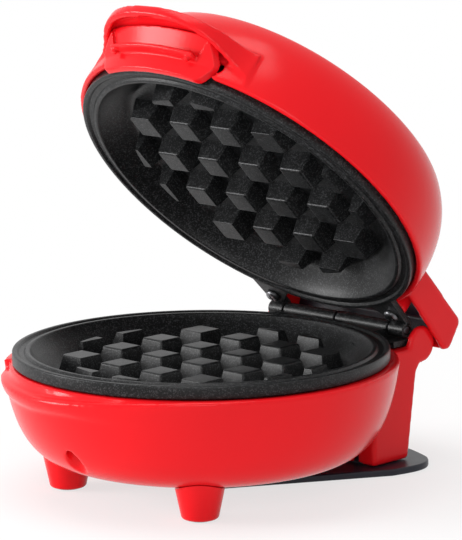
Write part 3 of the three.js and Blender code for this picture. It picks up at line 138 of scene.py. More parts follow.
class Bench:
    """Modelling steps in object and edit mode, on one piece at a time."""

    KEEP_SLOT = -1
    EASING = 0.5
    FLAT_FACE_WEIGHT = 100

    @staticmethod
    def clear() -> None:
        """Leaves edit mode with nothing selected."""
        if bpy.context.mode != "OBJECT":
            bpy.ops.object.mode_set(mode="OBJECT")
        bpy.ops.object.select_all(action="DESELECT")

    @classmethod
    def hold(cls, piece: Piece) -> None:
        """Selects one piece alone and makes it active.

        Args:
            piece: The piece to work on.
        """
        cls.clear()
        piece.select_set(True)
        bpy.context.view_layer.objects.active = piece

    @classmethod
    def edit(cls, piece: Piece) -> None:
        """Opens a piece in edit mode with everything selected.

        Args:
            piece: The piece to work on.
        """
        cls.hold(piece)
        bpy.ops.object.mode_set(mode="EDIT")
        bpy.ops.mesh.select_all(action="SELECT")

    @classmethod
    def tidy(cls, piece: Piece) -> Piece:
        """Merges doubles and turns the faces outwards.

        Args:
            piece: The piece to clean.

        Returns:
            The same piece.
        """
        cls.edit(piece)
        bpy.ops.mesh.remove_doubles(threshold=WELD * MM)
        bpy.ops.mesh.normals_make_consistent(inside=False)
        cls.clear()
        return piece

    @classmethod
    def chain(cls, name: str, points: list[Point], closed: bool = False) -> Piece:
        """Extrudes one vertex through a row of points.

        Args:
            name: Name of the new piece.
            points: The points, in millimetres.
            closed: Whether the last point joins the first.

        Returns:
            The new piece, in edit mode with everything selected.
        """
        cls.clear()
        bpy.ops.mesh.primitive_plane_add(size=MM)
        piece = bpy.context.active_object
        piece.name = name
        bpy.ops.object.mode_set(mode="EDIT")
        bpy.ops.mesh.select_all(action="SELECT")
        bpy.ops.mesh.merge(type="CENTER")
        here = Vector(points[0])
        bpy.ops.transform.translate(value=here * MM)
        for there in points[1:]:
            step = (Vector(there) - here) * MM
            bpy.ops.mesh.extrude_region_move(TRANSFORM_OT_translate={"value": step})
            here = Vector(there)
        bpy.ops.mesh.select_all(action="SELECT")
        if closed:
            bpy.ops.mesh.edge_face_add()
        return piece

    @classmethod
    def turned(cls, name: str, profile: Outline, steps: int = Facets.BOWL, start: float = 0.0,
               sweep: float = FULL_TURN, closed: bool = False) -> Piece:
        """Spins a profile about the upright axis.

        Args:
            name: Name of the new piece.
            profile: Points of radius and height.
            steps: Steps of the spin.
            start: Angle of the profile, from +X towards +Y, in radians.
            sweep: Angle that the spin covers, anticlockwise.
            closed: Whether the profile closes on itself.

        Returns:
            The solid.
        """
        across = Vector((math.cos(start), math.sin(start), 0))
        points = [tuple(across * radius) [:2] + (height,) for radius, height in profile]
        if closed:
            points.append(points[0])
        piece = cls.chain(name, points)
        bpy.ops.mesh.spin(steps=steps, angle=-sweep, center=(0, 0, 0), axis=(0, 0, 1))
        bpy.ops.mesh.select_all(action="SELECT")
        bpy.ops.mesh.remove_doubles(threshold=WELD * MM)
        if sweep < FULL_TURN:
            bpy.ops.mesh.fill_holes(sides=0)
        return cls.tidy(piece)

    @classmethod
    def prism(cls, name: str, points: list[Point], along: Point) -> Piece:
        """Draws a flat outline out into a solid.

        Args:
            name: Name of the new piece.
            points: The outline's points.
            along: How far and which way the outline is drawn out.

        Returns:
            The solid.
        """
        piece = cls.chain(name, points, closed=True)
        bpy.ops.mesh.extrude_region_move(TRANSFORM_OT_translate={"value": Vector(along) * MM})
        return cls.tidy(piece)

    @classmethod
    def across(cls, name: str, section: Outline, half: float) -> Piece:
        """Draws a section of Y and Z out by the same length to the left and the right."""
        return cls.prism(name, [(-half, y, z) for y, z in section], (2 * half, 0, 0))

    @classmethod
    def raised(cls, name: str, plan: Outline, low: float, height: float) -> Piece:
        """Draws a plan of X and Y up from a level."""
        return cls.prism(name, [(x, y, low) for x, y in plan], (0, 0, height))

    @classmethod
    def driven(cls, name: str, front: Outline, start: float, depth: float) -> Piece:
        """Draws an outline of X and Z back along Y."""
        return cls.prism(name, [(x, start, z) for x, z in front], (0, depth, 0))

    @classmethod
    def drum(cls, name: str, radius: float, low: float, high: float) -> Piece:
        """A wide cylinder about the upright axis, between two heights."""
        return cls.turned(name, [(0.0, low), (radius, low), (radius, high), (0.0, high)], Facets.DRUM)

    @classmethod
    def ring(cls, name: str, inner: float, outer: float, low: float, high: float) -> Piece:
        """A square ring about the upright axis, between two radii and two heights."""
        return cls.turned(name, [(inner, low), (outer, low), (outer, high), (inner, high)], closed=True)

    @classmethod
    def block(cls, name: str, low: Point, high: Point) -> Piece:
        """Makes a box from a cube that is resized in edit mode.

        Args:
            name: Name of the new piece.
            low: Its lowest corner.
            high: Its highest corner.

        Returns:
            The box.
        """
        cls.clear()
        middle = (Vector(low) + Vector(high)) / 2
        bpy.ops.mesh.primitive_cube_add(size=MM)
        piece = bpy.context.active_object
        piece.name = name
        cls.edit(piece)
        bpy.ops.transform.resize(value=Vector(high) - Vector(low))
        bpy.ops.transform.translate(value=middle * MM)
        return cls.tidy(piece)

    @classmethod
    def rod(cls, name: str, start: Point, end: Point, radius: float, sides: int) -> Piece:
        """Makes a round rod between two points.

        Args:
            name: Name of the new piece.
            start: The middle of one end.
            end: The middle of the other end.
            radius: Its radius.
            sides: Number of its flat sides.

        Returns:
            The rod.
        """
        cls.clear()
        way = Vector(end) - Vector(start)
        bpy.ops.mesh.primitive_cylinder_add(vertices=sides, radius=radius * MM, depth=way.length * MM)
        piece = bpy.context.active_object
        piece.name = name
        turn = way.to_track_quat("Z", "Y").to_matrix().to_4x4()
        place = Matrix.Translation((Vector(start) + Vector(end)) / 2 * MM)
        piece.data.transform(place @ turn)
        return cls.tidy(piece)

    @classmethod
    def upright(cls, name: str, place: Place, low: float, high: float, radius: float, sides: int) -> Piece:
        """An upright round rod at a place, between two heights."""
        return cls.rod(name, (*place, low), (*place, high), radius, sides)

    @classmethod
    def combine(cls, piece: Piece, others: list[Piece], way: Boolean) -> Piece:
        """Joins, cuts or crosses a solid with others, which are used up.

        Args:
            piece: The solid to change.
            others: The tool solids.
            way: How they are combined.

        Returns:
            The changed piece.
        """
        for other in others:
            cls.hold(piece)
            step = piece.modifiers.new("combine", "BOOLEAN")
            step.operation = way.value
            step.object = other
            step.solver = "MANIFOLD"
            bpy.ops.object.modifier_apply(modifier=step.name)
            bpy.data.objects.remove(other)
        return piece

    @classmethod
    def fillet(cls, piece: Piece, width: float, segments: int = 3, angle: float = 30.0) -> Piece:
        """Rounds every edge that is sharper than an angle.

        Args:
            piece: The piece to round.
            width: Width of the rounding, in millimetres.
            segments: Faces across it.
            angle: Least angle between faces, in degrees.

        Returns:
            The same piece.
        """
        cls.hold(piece)
        step = piece.modifiers.new("fillet", "BEVEL")
        step.width = width * MM
        step.segments = segments
        step.limit_method = "ANGLE"
        step.angle_limit = math.radians(angle)
        step.use_clamp_overlap = True
        # Where a piece has the plates' coats, the bevel's faces take the edge coat, whose lighter colour is a
        # painted highlight along the eased edge.
        step.material = Coat.EDGE if len(piece.data.materials) > Coat.EDGE else cls.KEEP_SLOT
        bpy.ops.object.modifier_apply(modifier=step.name)
        return piece

    @classmethod
    def mould(cls, piece: Piece, voxel: float, rounds: int) -> Piece:
        """Remeshes a solid evenly and eases its edges, as a moulded part's are.

        Args:
            piece: The piece to change.
            voxel: Size of its even faces, in millimetres.
            rounds: Rounds of easing.

        Returns:
            The same piece.
        """
        cls.hold(piece)
        even = piece.modifiers.new("even", "REMESH")
        even.mode = "VOXEL"
        even.voxel_size = voxel * MM
        bpy.ops.object.modifier_apply(modifier=even.name)
        ease = piece.modifiers.new("ease", "SMOOTH")
        ease.factor = cls.EASING
        ease.iterations = rounds
        bpy.ops.object.modifier_apply(modifier=ease.name)
        return piece

    @classmethod
    def thin_out(cls, piece: Piece, hidden: Callable[[Vector], bool], share: float) -> Piece:
        """Keeps only a share of the triangles where a piece is out of sight.

        Args:
            piece: The piece to change.
            hidden: A test of a point in millimetres, true where the piece is out of sight.
            share: Share of the faces to keep there.

        Returns:
            The same piece.
        """
        cls.edit(piece)
        bpy.ops.mesh.select_all(action="DESELECT")
        bpy.ops.object.mode_set(mode="OBJECT")
        for face in piece.data.polygons:
            face.select = hidden(face.center / MM)
        bpy.ops.object.mode_set(mode="EDIT")
        bpy.ops.mesh.select_mode(type="FACE")
        bpy.ops.mesh.decimate(ratio=share)
        bpy.ops.mesh.select_mode(type="VERT")
        cls.clear()
        return piece

    @classmethod
    def gather(cls, name: str, pieces: list[Piece], materials: list[bpy.types.Material]) -> Piece:
        """Puts several meshes into one object.

        Args:
            name: Name of the object.
            pieces: The meshes' pieces.
            materials: The row of materials for each piece that has none.

        Returns:
            The one piece.
        """
        cls.clear()
        for piece in pieces:
            if not piece.data.materials:
                for material in materials:
                    piece.data.materials.append(material)
            piece.select_set(True)
        bpy.context.view_layer.objects.active = pieces[0]
        if len(pieces) > 1:
            bpy.ops.object.join()
        pieces[0].name = name
        cls.clear()
        return pieces[0]

    @classmethod
    def copy(cls, piece: Piece, name: str, place: Matrix) -> Piece:
        """Copies a piece with its own mesh.

        Args:
            piece: The piece to copy.
            name: Name of the copy.
            place: The move from the piece to its copy.

        Returns:
            The copy.
        """
        twin = piece.copy()
        twin.data = piece.data.copy()
        twin.name = name
        bpy.context.collection.objects.link(twin)
        twin.data.transform(place)
        return twin

    @classmethod
    def shade(cls, piece: Piece, angle: float = 35.0, flat_faces: bool = True) -> Piece:
        """Shades a piece smooth, but for its edges past an angle in degrees.

        Args:
            piece: The piece to shade.
            angle: Least angle of an edge that stays sharp.
            flat_faces: Whether wide faces stay flat beside narrow rounded ones.

        Returns:
            The same piece.
        """
        cls.hold(piece)
        bpy.ops.object.shade_smooth_by_angle(angle=math.radians(angle))
        if flat_faces:
            step = piece.modifiers.new("flat faces", "WEIGHTED_NORMAL")
            step.keep_sharp = True
            step.weight = cls.FLAT_FACE_WEIGHT
            bpy.ops.object.modifier_apply(modifier=step.name)
        cls.clear()
        return piece


def bezier(corners: Outline, steps: int) -> Outline:
    """Points of a cubic curve.

    Args:
        corners: Its four control points.
        steps: Number of steps along it.

    Returns:
        The points, both ends included.
    """
    points = []
    for i in range(steps + 1):
        t = i / steps
        shares = ((1 - t) ** 3, 3 * t * (1 - t) ** 2, 3 * t * t * (1 - t), t ** 3)
        points.append(tuple(sum(s * c[k] for s, c in zip(shares, corners)) for k in (0, 1)))
    return points


def arc(centre: Place, radius: float, start: float, end: float, steps: int) -> Outline:
    """Points on a circle.

    Args:
        centre: The circle's middle.
        radius: Its radius.
        start: Angle of the first point, in degrees.
        end: Angle of the last point.
        steps: Number of steps between them.

    Returns:
        The points, both ends included.
    """
    angles = [math.radians(start + (end - start) * i / steps) for i in range(steps + 1)]
    return [(centre[0] + radius * math.cos(a), centre[1] + radius * math.sin(a)) for a in angles]


def rounded(corners: list[Point], steps: int = 6) -> Outline:
    """An outline whose corners are eased by short curves.

    Args:
        corners: Points with the radius of each corner.
        steps: Steps round a corner.

    Returns:
        The outline's points.
    """
    points: Outline = []
    for i, (u, v, radius) in enumerate(corners):
        here = Vector((u, v))
        if radius == 0:
            points.append((u, v))
            continue
        before = (Vector(corners[i - 1][:2]) - here).normalized()
        after = (Vector(corners[(i + 1) % len(corners)][:2]) - here).normalized()
        reach = radius / math.tan(before.angle(after) / 2)
        start, end = here + before * reach, here + after * reach
        for k in range(steps + 1):
            t = k / steps
            point = start * (1 - t) ** 2 + here * 2 * t * (1 - t) + end * t * t
            points.append(tuple(point))
    return points


def offset_profile(profile: Outline, distance: float) -> Outline:
    """Moves a profile to its left.

    Args:
        profile: Points of radius and height.
        distance: How far every line of it moves.

    Returns:
        The moved profile.
    """
    moved = []
    last = len(profile) - 1
    for i, (radius, height) in enumerate(profile):
        into = Vector(profile[max(i, 1)]) - Vector(profile[max(i - 1, 0)])
        out = Vector(profile[min(i + 1, last)]) - Vector(profile[min(i, last - 1)])
        along = (into.normalized() + out.normalized()).normalized()
        new_radius = 0.0 if radius == 0 else radius - along.y * distance
        moved.append((new_radius, height + along.x * distance))
    return moved


def radius_on(profile: Outline, height: float, above: float) -> float:
    """Radius of a rising profile at a height.

    Args:
        profile: Points of radius and height, from the lowest up.
        height: Where to read it.
        above: The radius over the profile's top.

    Returns:
        The radius.
    """
    for (r1, z1), (r2, z2) in zip(profile, profile[1:]):
        if z1 <= height <= z2:
            return mix(r1, r2, (height - z1) / max(z2 - z1, WELD))
    return above


def mix(low: float, high: float, share: float) -> float:
    """A value part of the way from one to another."""
    return low + (high - low) * share


def smooth_step(share: float) -> float:
    """A share eased at both of its ends and kept between 0 and 1."""
    share = min(max(share, 0.0), 1.0)
    return share * share * (3 - 2 * share)


@dataclass(frozen=True)
class Hinge:
    """The hinge that joins the lid to the base."""

    y: float = 71.7
    height: float = 49.0
    open_degrees: float = 45.5
    barrel: float = 2.8
    pin: float = 1.5
    gap: float = 0.7
    inner_knuckle: float = 25.0
    outer_knuckle: float = 7.0

    def lay_open(self, piece: Piece) -> Piece:
        """Turns a piece that was modelled on the shut lid to its place at rest.

        Args:
            piece: The piece.

        Returns:
            The same piece.
        """
        pivot = Matrix.Translation(Vector((0, self.y, self.height)) * MM)
        turn = Matrix.Rotation(math.radians(-self.open_degrees), 4, "X")
        piece.data.transform(pivot @ turn @ pivot.inverted())
        return piece

    def inner_edges(self) -> Place:
        """Near and far end of a long middle knuckle, from the middle of the pin."""
        return self.gap / 2, self.gap / 2 + self.inner_knuckle

    def outer_edges(self) -> Place:
        """Near and far end of a short outer knuckle."""
        start = self.inner_edges()[1] + self.gap
        return start, start + self.outer_knuckle


HINGE = Hinge()


class Nodes:
    """A short way to add and link shader nodes in one tree."""

    def __init__(self, tree: bpy.types.NodeTree) -> None:
        """Works on one node tree."""
        self.tree = tree

    def add(self, kind: str, **values: object) -> bpy.types.Node:
        """Adds a node and sets its inputs or its own properties.

        Args:
            kind: The node's type.
            values: Inputs, by name with underscores for spaces, or properties.

        Returns:
            The node.
        """
        node = self.tree.nodes.new(kind)
        for key, value in values.items():
            title = key.replace("_", " ")
            if title in node.inputs:
                self.give(node.inputs[title], value)
            else:
                setattr(node, key, value)
        return node

    def give(self, socket: Socket, value: object) -> None:
        """Links an output to a socket, or sets the socket's own value.

        Args:
            socket: The input to feed.
            value: An output, or a plain value.
        """
        if isinstance(value, Socket):
            self.tree.links.new(value, socket)
        else:
            socket.default_value = value

    def calculate(self, operation: str, first: object, second: object) -> Socket:
        """Works out a number from two others.

        Args:
            operation: What is done with them.
            first: The first number or output.
            second: The second number or output.

        Returns:
            The result's output.
        """
        node = self.add("ShaderNodeMath", operation=operation)
        self.give(node.inputs[0], first)
        self.give(node.inputs[1], second)
        return node.outputs[0]

    def mix_colors(self, share: Socket, first: object, second: object) -> Socket:
        """Mixes two colours.

        Args:
            share: Share of the second colour.
            first: The first colour or output.
            second: The second colour or output.

        Returns:
            The mixed colour's output.
        """
        node = self.add("ShaderNodeMix", data_type="RGBA", Factor=share)
        self.give(node.inputs[MIX_FIRST], first)
        self.give(node.inputs[MIX_SECOND], second)
        return node.outputs[MIX_RESULT]

    def mix_shaders(self, share: Socket, first: Socket, second: Socket) -> Socket:
        """Mixes two shaders.

        Args:
            share: Share of the second shader.
            first: The first shader.
            second: The second shader.

        Returns:
            The mixed shader's output.
        """
        node = self.add("ShaderNodeMixShader")
        for socket, value in zip(node.inputs, (share, first, second)):
            self.give(socket, value)
        return node.outputs[0]


class FinishGroups:
    """Effects that several finishes share, each a node group made once."""

    def __init__(self) -> None:
        """Starts with no group made."""
        self.made: dict[str, bpy.types.NodeTree] = {}

    def start(self, name: str, inputs: dict[str, float], outputs: tuple[str, ...]) -> Nodes:
        """Opens a new group with its sockets.

        Args:
            name: The group's name.
            inputs: Number inputs and their values.
            outputs: Number outputs.

        Returns:
            The group's nodes.
        """
        tree = bpy.data.node_groups.new(name, "ShaderNodeTree")
        for title, value in inputs.items():
            socket = tree.interface.new_socket(title, in_out="INPUT", socket_type="NodeSocketFloat")
            socket.default_value = value
        for title in outputs:
            tree.interface.new_socket(title, in_out="OUTPUT", socket_type="NodeSocketFloat")
        self.made[name] = tree
        return Nodes(tree)

    def grain(self) -> bpy.types.NodeTree:
        """Makes the fine pits and specks of a sprayed or eroded surface, at a size in metres.

        Returns:
            The group.
        """
        if "surface grain" in self.made:
            return self.made["surface grain"]
        nodes = self.start(
            "surface grain", {"Size": 0.0005, "Speck share": 0.3}, ("Height", "Speck", "Patch")
        )
        given = nodes.add("NodeGroupInput")
        place = nodes.add("ShaderNodeTexCoord").outputs["Object"]
        density = nodes.calculate("DIVIDE", 1.0, given.outputs["Size"])
        pits = nodes.add("ShaderNodeTexNoise", Vector=place, Scale=density, Detail=2.0)
        cells = nodes.add("ShaderNodeTexVoronoi", feature="F1", Vector=place, Scale=density)
        picked = nodes.add("ShaderNodeSeparateColor", Color=cells.outputs["Color"])
        threshold = nodes.calculate("SUBTRACT", 1.0, given.outputs["Speck share"])
        speck = nodes.add("ShaderNodeMapRange", Value=picked.outputs["Red"], From_Min=threshold)
        patch = nodes.add("ShaderNodeTexNoise", Vector=place, Scale=60.0, Detail=3.0)
        nodes.add("NodeGroupOutput", Height=pits.outputs["Fac"], Speck=speck.outputs["Result"],
                  Patch=patch.outputs["Fac"])
        return self.made["surface grain"]

    def scuff(self) -> bpy.types.NodeTree:
        """Makes the faint smudges and handling marks that change how evenly a surface shines.

        Returns:
            The group.
        """
        if "handling marks" in self.made:
            return self.made["handling marks"]
        nodes = self.start("handling marks", {"Strength": 0.5}, ("Mark",))
        given = nodes.add("NodeGroupInput")
        place = nodes.add("ShaderNodeTexCoord").outputs["Object"]
        broad = nodes.add("ShaderNodeTexNoise", Vector=place, Scale=35.0, Detail=4.0)
        stretch = nodes.add("ShaderNodeMapping", Vector=place, Scale=(1.0, 1.0, 9.0))
        streaks = nodes.add("ShaderNodeTexNoise", Vector=stretch.outputs[0], Scale=90.0, Detail=2.0)
        both = nodes.calculate("MULTIPLY", broad.outputs["Fac"], streaks.outputs["Fac"])
        nodes.add("NodeGroupOutput", Mark=nodes.calculate("MULTIPLY", both, given.outputs["Strength"]))
        return self.made["handling marks"]


GROUPS = FinishGroups()


@dataclass(frozen=True)
class Finish:
    """One finish: its colour, gloss and grain.

    The shade is the colour in the grain's patches, and the speck colour shows on single grains.
    """

    slot: str
    color: tuple[float, float, float]
    shade: tuple[float, float, float]
    speck_color: tuple[float, float, float]
    roughness: float = 0.4
    roughness_spread: float = 0.1
    metallic: float = 0.0
    coat: float = 0.0
    grain_size: float = 0.0005
    grain_depth: float = 0.02
    grain_strength: float = 0.2
    speck_share: float = 0.0
    specular: float = 0.5
    transmission: float = 0.0

    def material(self) -> bpy.types.Material:
        """Builds the finish, once.

        Returns:
            Its material.
        """
        made = bpy.data.materials.get(self.slot)
        if made is not None and made.get("dressed"):
            return made
        material = bpy.data.materials.new(self.slot)
        material["dressed"] = True
        material.use_nodes = True
        nodes = Nodes(material.node_tree)
        material.node_tree.nodes.clear()
        grain = nodes.add("ShaderNodeGroup", node_tree=GROUPS.grain(), Size=self.grain_size,
                          Speck_share=self.speck_share)
        marks = nodes.add("ShaderNodeGroup", node_tree=GROUPS.scuff())
        tone = nodes.mix_colors(grain.outputs["Patch"], (*self.color, 1.0), (*self.shade, 1.0))
        speckled = nodes.mix_colors(grain.outputs["Speck"], tone, (*self.speck_color, 1.0))
        gloss = nodes.add("ShaderNodeMapRange", Value=marks.outputs["Mark"], From_Max=STRONGEST_MARK,
                          To_Min=self.roughness - self.roughness_spread / 2,
                          To_Max=self.roughness + self.roughness_spread / 2)
        bump = nodes.add("ShaderNodeBump", Height=grain.outputs["Height"], Strength=self.grain_strength,
                         Distance=self.grain_depth * MM)
        shader = nodes.add(
            "ShaderNodeBsdfPrincipled", Base_Color=speckled, Roughness=gloss.outputs["Result"],
            Normal=bump.outputs["Normal"], Metallic=self.metallic, Coat_Weight=self.coat,
            Coat_Roughness=self.roughness / COAT_SMOOTHER, Specular_IOR_Level=self.specular,
            Transmission_Weight=self.transmission,
        )
        nodes.add("ShaderNodeOutputMaterial", Surface=shader.outputs["BSDF"])
        return material

    def dress(self, piece: Piece) -> None:
        """Puts the finish on every face of a piece, but leaves a piece that has it already.

        Args:
            piece: The piece to dress.
        """
        if self.material().name in piece.data.materials:
            return
        piece.data.materials.clear()
        piece.data.materials.append(self.material())
        for face in piece.data.polygons:
            face.material_index = Coat.FACE


RED = Finish(
    "red_plastic", (0.76, 0.0075, 0.0125), (0.72, 0.0065, 0.011), (0.76, 0.0075, 0.0125),
    roughness=0.22, roughness_spread=0.06, grain_size=0.0012, grain_depth=0.004,
    grain_strength=0.12, specular=0.16,
)
COAT = Finish(
    "nonstick_plate", (0.0040, 0.0042, 0.0044), (0.0060, 0.0062, 0.0066), (0.045, 0.046, 0.048),
    roughness=0.36, roughness_spread=0.08, grain_size=0.00036, grain_depth=0.045,
    grain_strength=0.85, speck_share=0.35, specular=0.2,
)
# Painted highlight: a lighter, glossier coat on eased edges and rim rings, standing in for the light that
# they catch.
COAT_EDGE_HIGHLIGHT = Finish(
    "nonstick_plate_edge_highlight", (0.060, 0.061, 0.063), (0.085, 0.086, 0.088), (0.19, 0.192, 0.196),
    roughness=0.27, roughness_spread=0.1, grain_size=0.00042, grain_depth=0.03,
    grain_strength=0.6, speck_share=0.3, specular=0.6,
)
# Partly painted sheen: the rim's side and the knuckles get a lighter base and bright specks; the specks are
# the coat's grain, and the lifted lightness stands in for sheen.
COAT_RIM_SPECKS_AND_SHEEN = Finish(
    "nonstick_plate_rim_specks_and_sheen", (0.020, 0.0205, 0.021), (0.034, 0.0345, 0.035), (0.46, 0.465, 0.47),
    roughness=0.36, roughness_spread=0.1, grain_size=0.00062, grain_depth=0.05,
    grain_strength=0.8, speck_share=0.34, specular=0.4,
)
BLACK = Finish(
    "black_plastic", (0.010, 0.012, 0.020), (0.014, 0.016, 0.026), (0.03, 0.033, 0.045),
    roughness=0.38, specular=0.3, grain_size=0.0004, grain_depth=0.02, grain_strength=0.35,
    speck_share=0.05,
)
RUBBER = Finish(
    "rubber", (0.022, 0.022, 0.022), (0.03, 0.03, 0.03), (0.04, 0.04, 0.04),
    roughness=0.8, grain_size=0.0003, grain_depth=0.02, grain_strength=0.5,
)
SCREW_STEEL = Finish(
    "screw_steel", (0.20, 0.20, 0.21), (0.14, 0.14, 0.15), (0.5, 0.5, 0.52),
    roughness=0.34, metallic=1.0, grain_size=0.0003, grain_depth=0.01, grain_strength=0.3,
    speck_share=0.05,
)
PIN_STEEL = Finish(
    "pin_steel", (0.07, 0.07, 0.075), (0.05, 0.05, 0.055), (0.3, 0.3, 0.3),
    roughness=0.4, metallic=1.0, grain_size=0.0004, grain_depth=0.01, grain_strength=0.3,
)
ELEMENT_STEEL = Finish(
    "element_steel", (0.30, 0.27, 0.24), (0.20, 0.16, 0.14), (0.4, 0.38, 0.36),
    roughness=0.45, roughness_spread=0.2, metallic=1.0, grain_size=0.0006, grain_depth=0.02,
)
SHEET_METAL = Finish(
    "sheet_metal", (0.58, 0.59, 0.60), (0.50, 0.51, 0.52), (0.7, 0.7, 0.7),
    roughness=0.34, roughness_spread=0.2, metallic=1.0, grain_size=0.001, grain_depth=0.01,
)
INSULATOR = Finish(
    "white_insulator", (0.78, 0.75, 0.68), (0.70, 0.67, 0.60), (0.8, 0.78, 0.72), roughness=0.55,
)
SLEEVE = Finish(
    "lead_sleeve", (0.80, 0.78, 0.72), (0.68, 0.66, 0.60), (0.9, 0.88, 0.84),
    roughness=0.8, grain_size=0.0004, grain_depth=0.06, grain_strength=0.7, speck_share=0.2,
)
LENS = Finish(
    "amber_lens", (0.80, 0.16, 0.015), (0.75, 0.13, 0.012), (0.8, 0.16, 0.015),
    roughness=0.12, roughness_spread=0.04, coat=0.5, grain_size=0.001, grain_depth=0.004,
)
LAMP = Finish(
    "lamp_glass", (0.9, 0.75, 0.62), (0.85, 0.7, 0.58), (0.9, 0.75, 0.62),
    roughness=0.08, roughness_spread=0.02, grain_depth=0.002, transmission=0.7,
)


def seat(piece: Piece, body: Body, finish: Finish, node: str) -> None:
    """Dresses a finished piece, lets it stand for its node and fixes it to its body.

    Args:
        piece: The piece, in its place.
        body: The body that it rides on.
        finish: Its finish.
        node: The frame's node that it stands for.
    """
    finish.dress(piece)
    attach(piece, body.value)
    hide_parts(node)
    triangles = sum(len(face.vertices) - 2 for face in piece.data.polygons)
    LOG.info("%s: %d triangles", piece.name, triangles)


@dataclass
class BaseCasing:
    """The red bowl of the base, with its front step, its rear block and the ears beside the hinge."""

    wall: float = 2.2
    floor_radius: float = 46.0
    floor_height: float = 10.8
    top_radius: float = 69.5
    top_height: float = 45.3
    floor_pull: float = 0.6
    floor_lift: float = 0.035
    side_pull: float = 0.675
    side_tuck: float = 3.0
    rim_round: float = 0.9
    profile_steps: int = 40
    ledge_radius: float = 62.0
    ledge_height: float = 4.0
    plate_seat: float = 45.0
    seat_clearance: float = 0.5
    step_low: float = 41.5
    step_left: float = -48.0
    step_right: float = 42.0
    ramp_start: float = -12.0
    step_wall: float = 67.1
    lip_reach: float = 1.5
    lip_height: float = 5.6
    lip_height_right: float = 8.5
    lip_fade_start: float = -4.0
    lip_fade_end: float = 32.0
    lip_rows: int = 8
    lip_swell: float = 1.4
    sweep_steps: int = 90
    block_half: float = 36.0
    block_front: float = 50.7
    block_heel: float = 69.5
    block_waist: float = 74.0
    waist_height: float = 34.0
    block_rear: float = 75.8
    block_floor: float = 2.8
    block_edge: float = 1.0
    ear_edge: float = 0.8
    deck: float = 43.0
    ear_y: float = 77.0
    ear_height: float = 43.5
    ear_radius: float = 6.8
    ear_thickness: float = 2.5
    recess_y: float = 57.5
    recess_half: float = 31.5
    slot_half: float = 5.0
    slot_y: float = 70.0
    slot_depth: float = 3.5
    screw_circle: float = 60.5
    rear_screw_x: float = 27.0
    column_radius: float = 5.8
    column_top: float = 41.7
    pocket_radius: float = 3.2
    pocket_height: float = 26.0
    back_space_height: float = 37.1
    back_space_radius: float = 54.3
    gland_height: float = 16.0
    gland_hole: float = 4.6
    foot_x: float = 32.6
    foot_y: float = 34.3
    foot_hole: float = 3.5
    overlap: float = 1.0
    skin_share: float = 0.8
    hidden_share: float = 0.12
    voxel: float = 0.72
    eases: int = 7
    side: Outline = field(default_factory=list)

    def __post_init__(self) -> None:
        """Works the side profile out once."""
        self.side = self.side_profile()

    def side_profile(self) -> Outline:
        """Draws the bowl's outer side, from the edge of its floor to its rim.

        Returns:
            The profile's points.
        """
        rise = self.top_height - self.floor_height
        reach = self.top_radius - self.floor_radius
        corners = [
            (self.floor_radius, self.floor_height),
            (self.floor_radius + self.floor_pull * reach, self.floor_height + self.floor_lift * rise),
            (self.top_radius - self.side_tuck, self.top_height - self.side_pull * rise),
            (self.top_radius, self.top_height),
        ]
        return bezier(corners, self.profile_steps)

    @property
    def lean(self) -> float:
        """How far the block's rear wall leans back for its height."""
        return (self.block_waist - self.block_heel) / (self.waist_height - self.block_floor)

    def bowl(self, name: str, inset: float, top: float) -> Piece:
        """Turns the bowl as a filled solid.

        Args:
            name: Name of the new piece.
            inset: How far its side lies inside the bowl's outer side.
            top: Height of its top.

        Returns:
            The solid.
        """
        profile = offset_profile([(0.0, self.floor_height), *self.side], inset)
        if inset == 0:
            edge = self.top_radius - self.rim_round
            profile = profile[:-1] + arc((edge, top - self.rim_round), self.rim_round, 0, 90, steps=5)
        else:
            profile.append((profile[-1][0], top))
        return Bench.turned(name, [*profile, (0.0, top)])

    @staticmethod
    def azimuth(point: Vector) -> float:
        """Angle of a point from the front towards +X, in degrees."""
        return math.degrees(math.atan2(point.x, -point.y))

    def radius_at(self, height: float) -> float:
        """Radius of the bowl's outer side at a height."""
        return radius_on(self.side, height, self.top_radius)

    def step_height(self, azimuth: float) -> float:
        """Height of the lip's top, which climbs to the rim on the right."""
        climb = (azimuth - self.ramp_start) / (self.step_right - self.ramp_start)
        return mix(self.step_low, self.top_height, min(max(climb, 0.0), 1.0))

    def swept(self, name: str, profile: Outline) -> Piece:
        """Sweeps a closed profile round the front, from the step's left end to its right end.

        Args:
            name: Name of the new piece.
            profile: Points of radius and height.

        Returns:
            The solid.
        """
        start = math.radians(self.step_left - 90)
        sweep = math.radians(self.step_right - self.step_left)
        return Bench.turned(name, profile, self.sweep_steps, start, sweep, closed=True)

    def lip(self) -> Piece:
        """Models the band that stands proud below the step and dies away to the right.

        Returns:
            The solid.
        """
        root = self.top_radius - self.wall
        outer = [(self.top_radius, float(row)) for row in range(1, self.lip_rows)]
        piece = self.swept("lip", [(root, 0.0), *outer, (root, float(self.lip_rows))])
        for vertex in piece.data.vertices:
            place = vertex.co / MM
            azimuth = self.azimuth(place)
            fade = (azimuth - self.lip_fade_start) / (self.lip_fade_end - self.lip_fade_start)
            fade = smooth_step(fade)
            depth = mix(self.lip_height, self.lip_height_right, fade)
            share = place.z / self.lip_rows
            height = self.step_height(azimuth) - depth * (1 - share)
            radius = math.hypot(place.x, place.y)
            if radius > root + self.wall / 2:
                bulge = math.sin(math.pi / 2 * min(share * self.lip_swell, 1.0)) ** 0.5
                radius = self.radius_at(height) + self.lip_reach * (1 - fade) * bulge
            angle = math.radians(azimuth - 90)
            vertex.co = Vector((radius * math.cos(angle), radius * math.sin(angle), height)) * MM
        return piece

    def step_cut(self) -> Piece:
        """Models the space over the lip, whose floor climbs to the right.

        Returns:
            The solid.
        """
        clear = self.top_radius + OVERRUN
        high = self.top_height + OVERRUN
        profile = [(self.step_wall, 0.0), (clear, 0.0), (clear, high), (self.step_wall, high)]
        piece = self.swept("step", profile)
        for vertex in piece.data.vertices:
            if vertex.co.z < self.step_low * MM / 2:
                vertex.co.z = self.step_height(self.azimuth(vertex.co)) * MM
        return piece

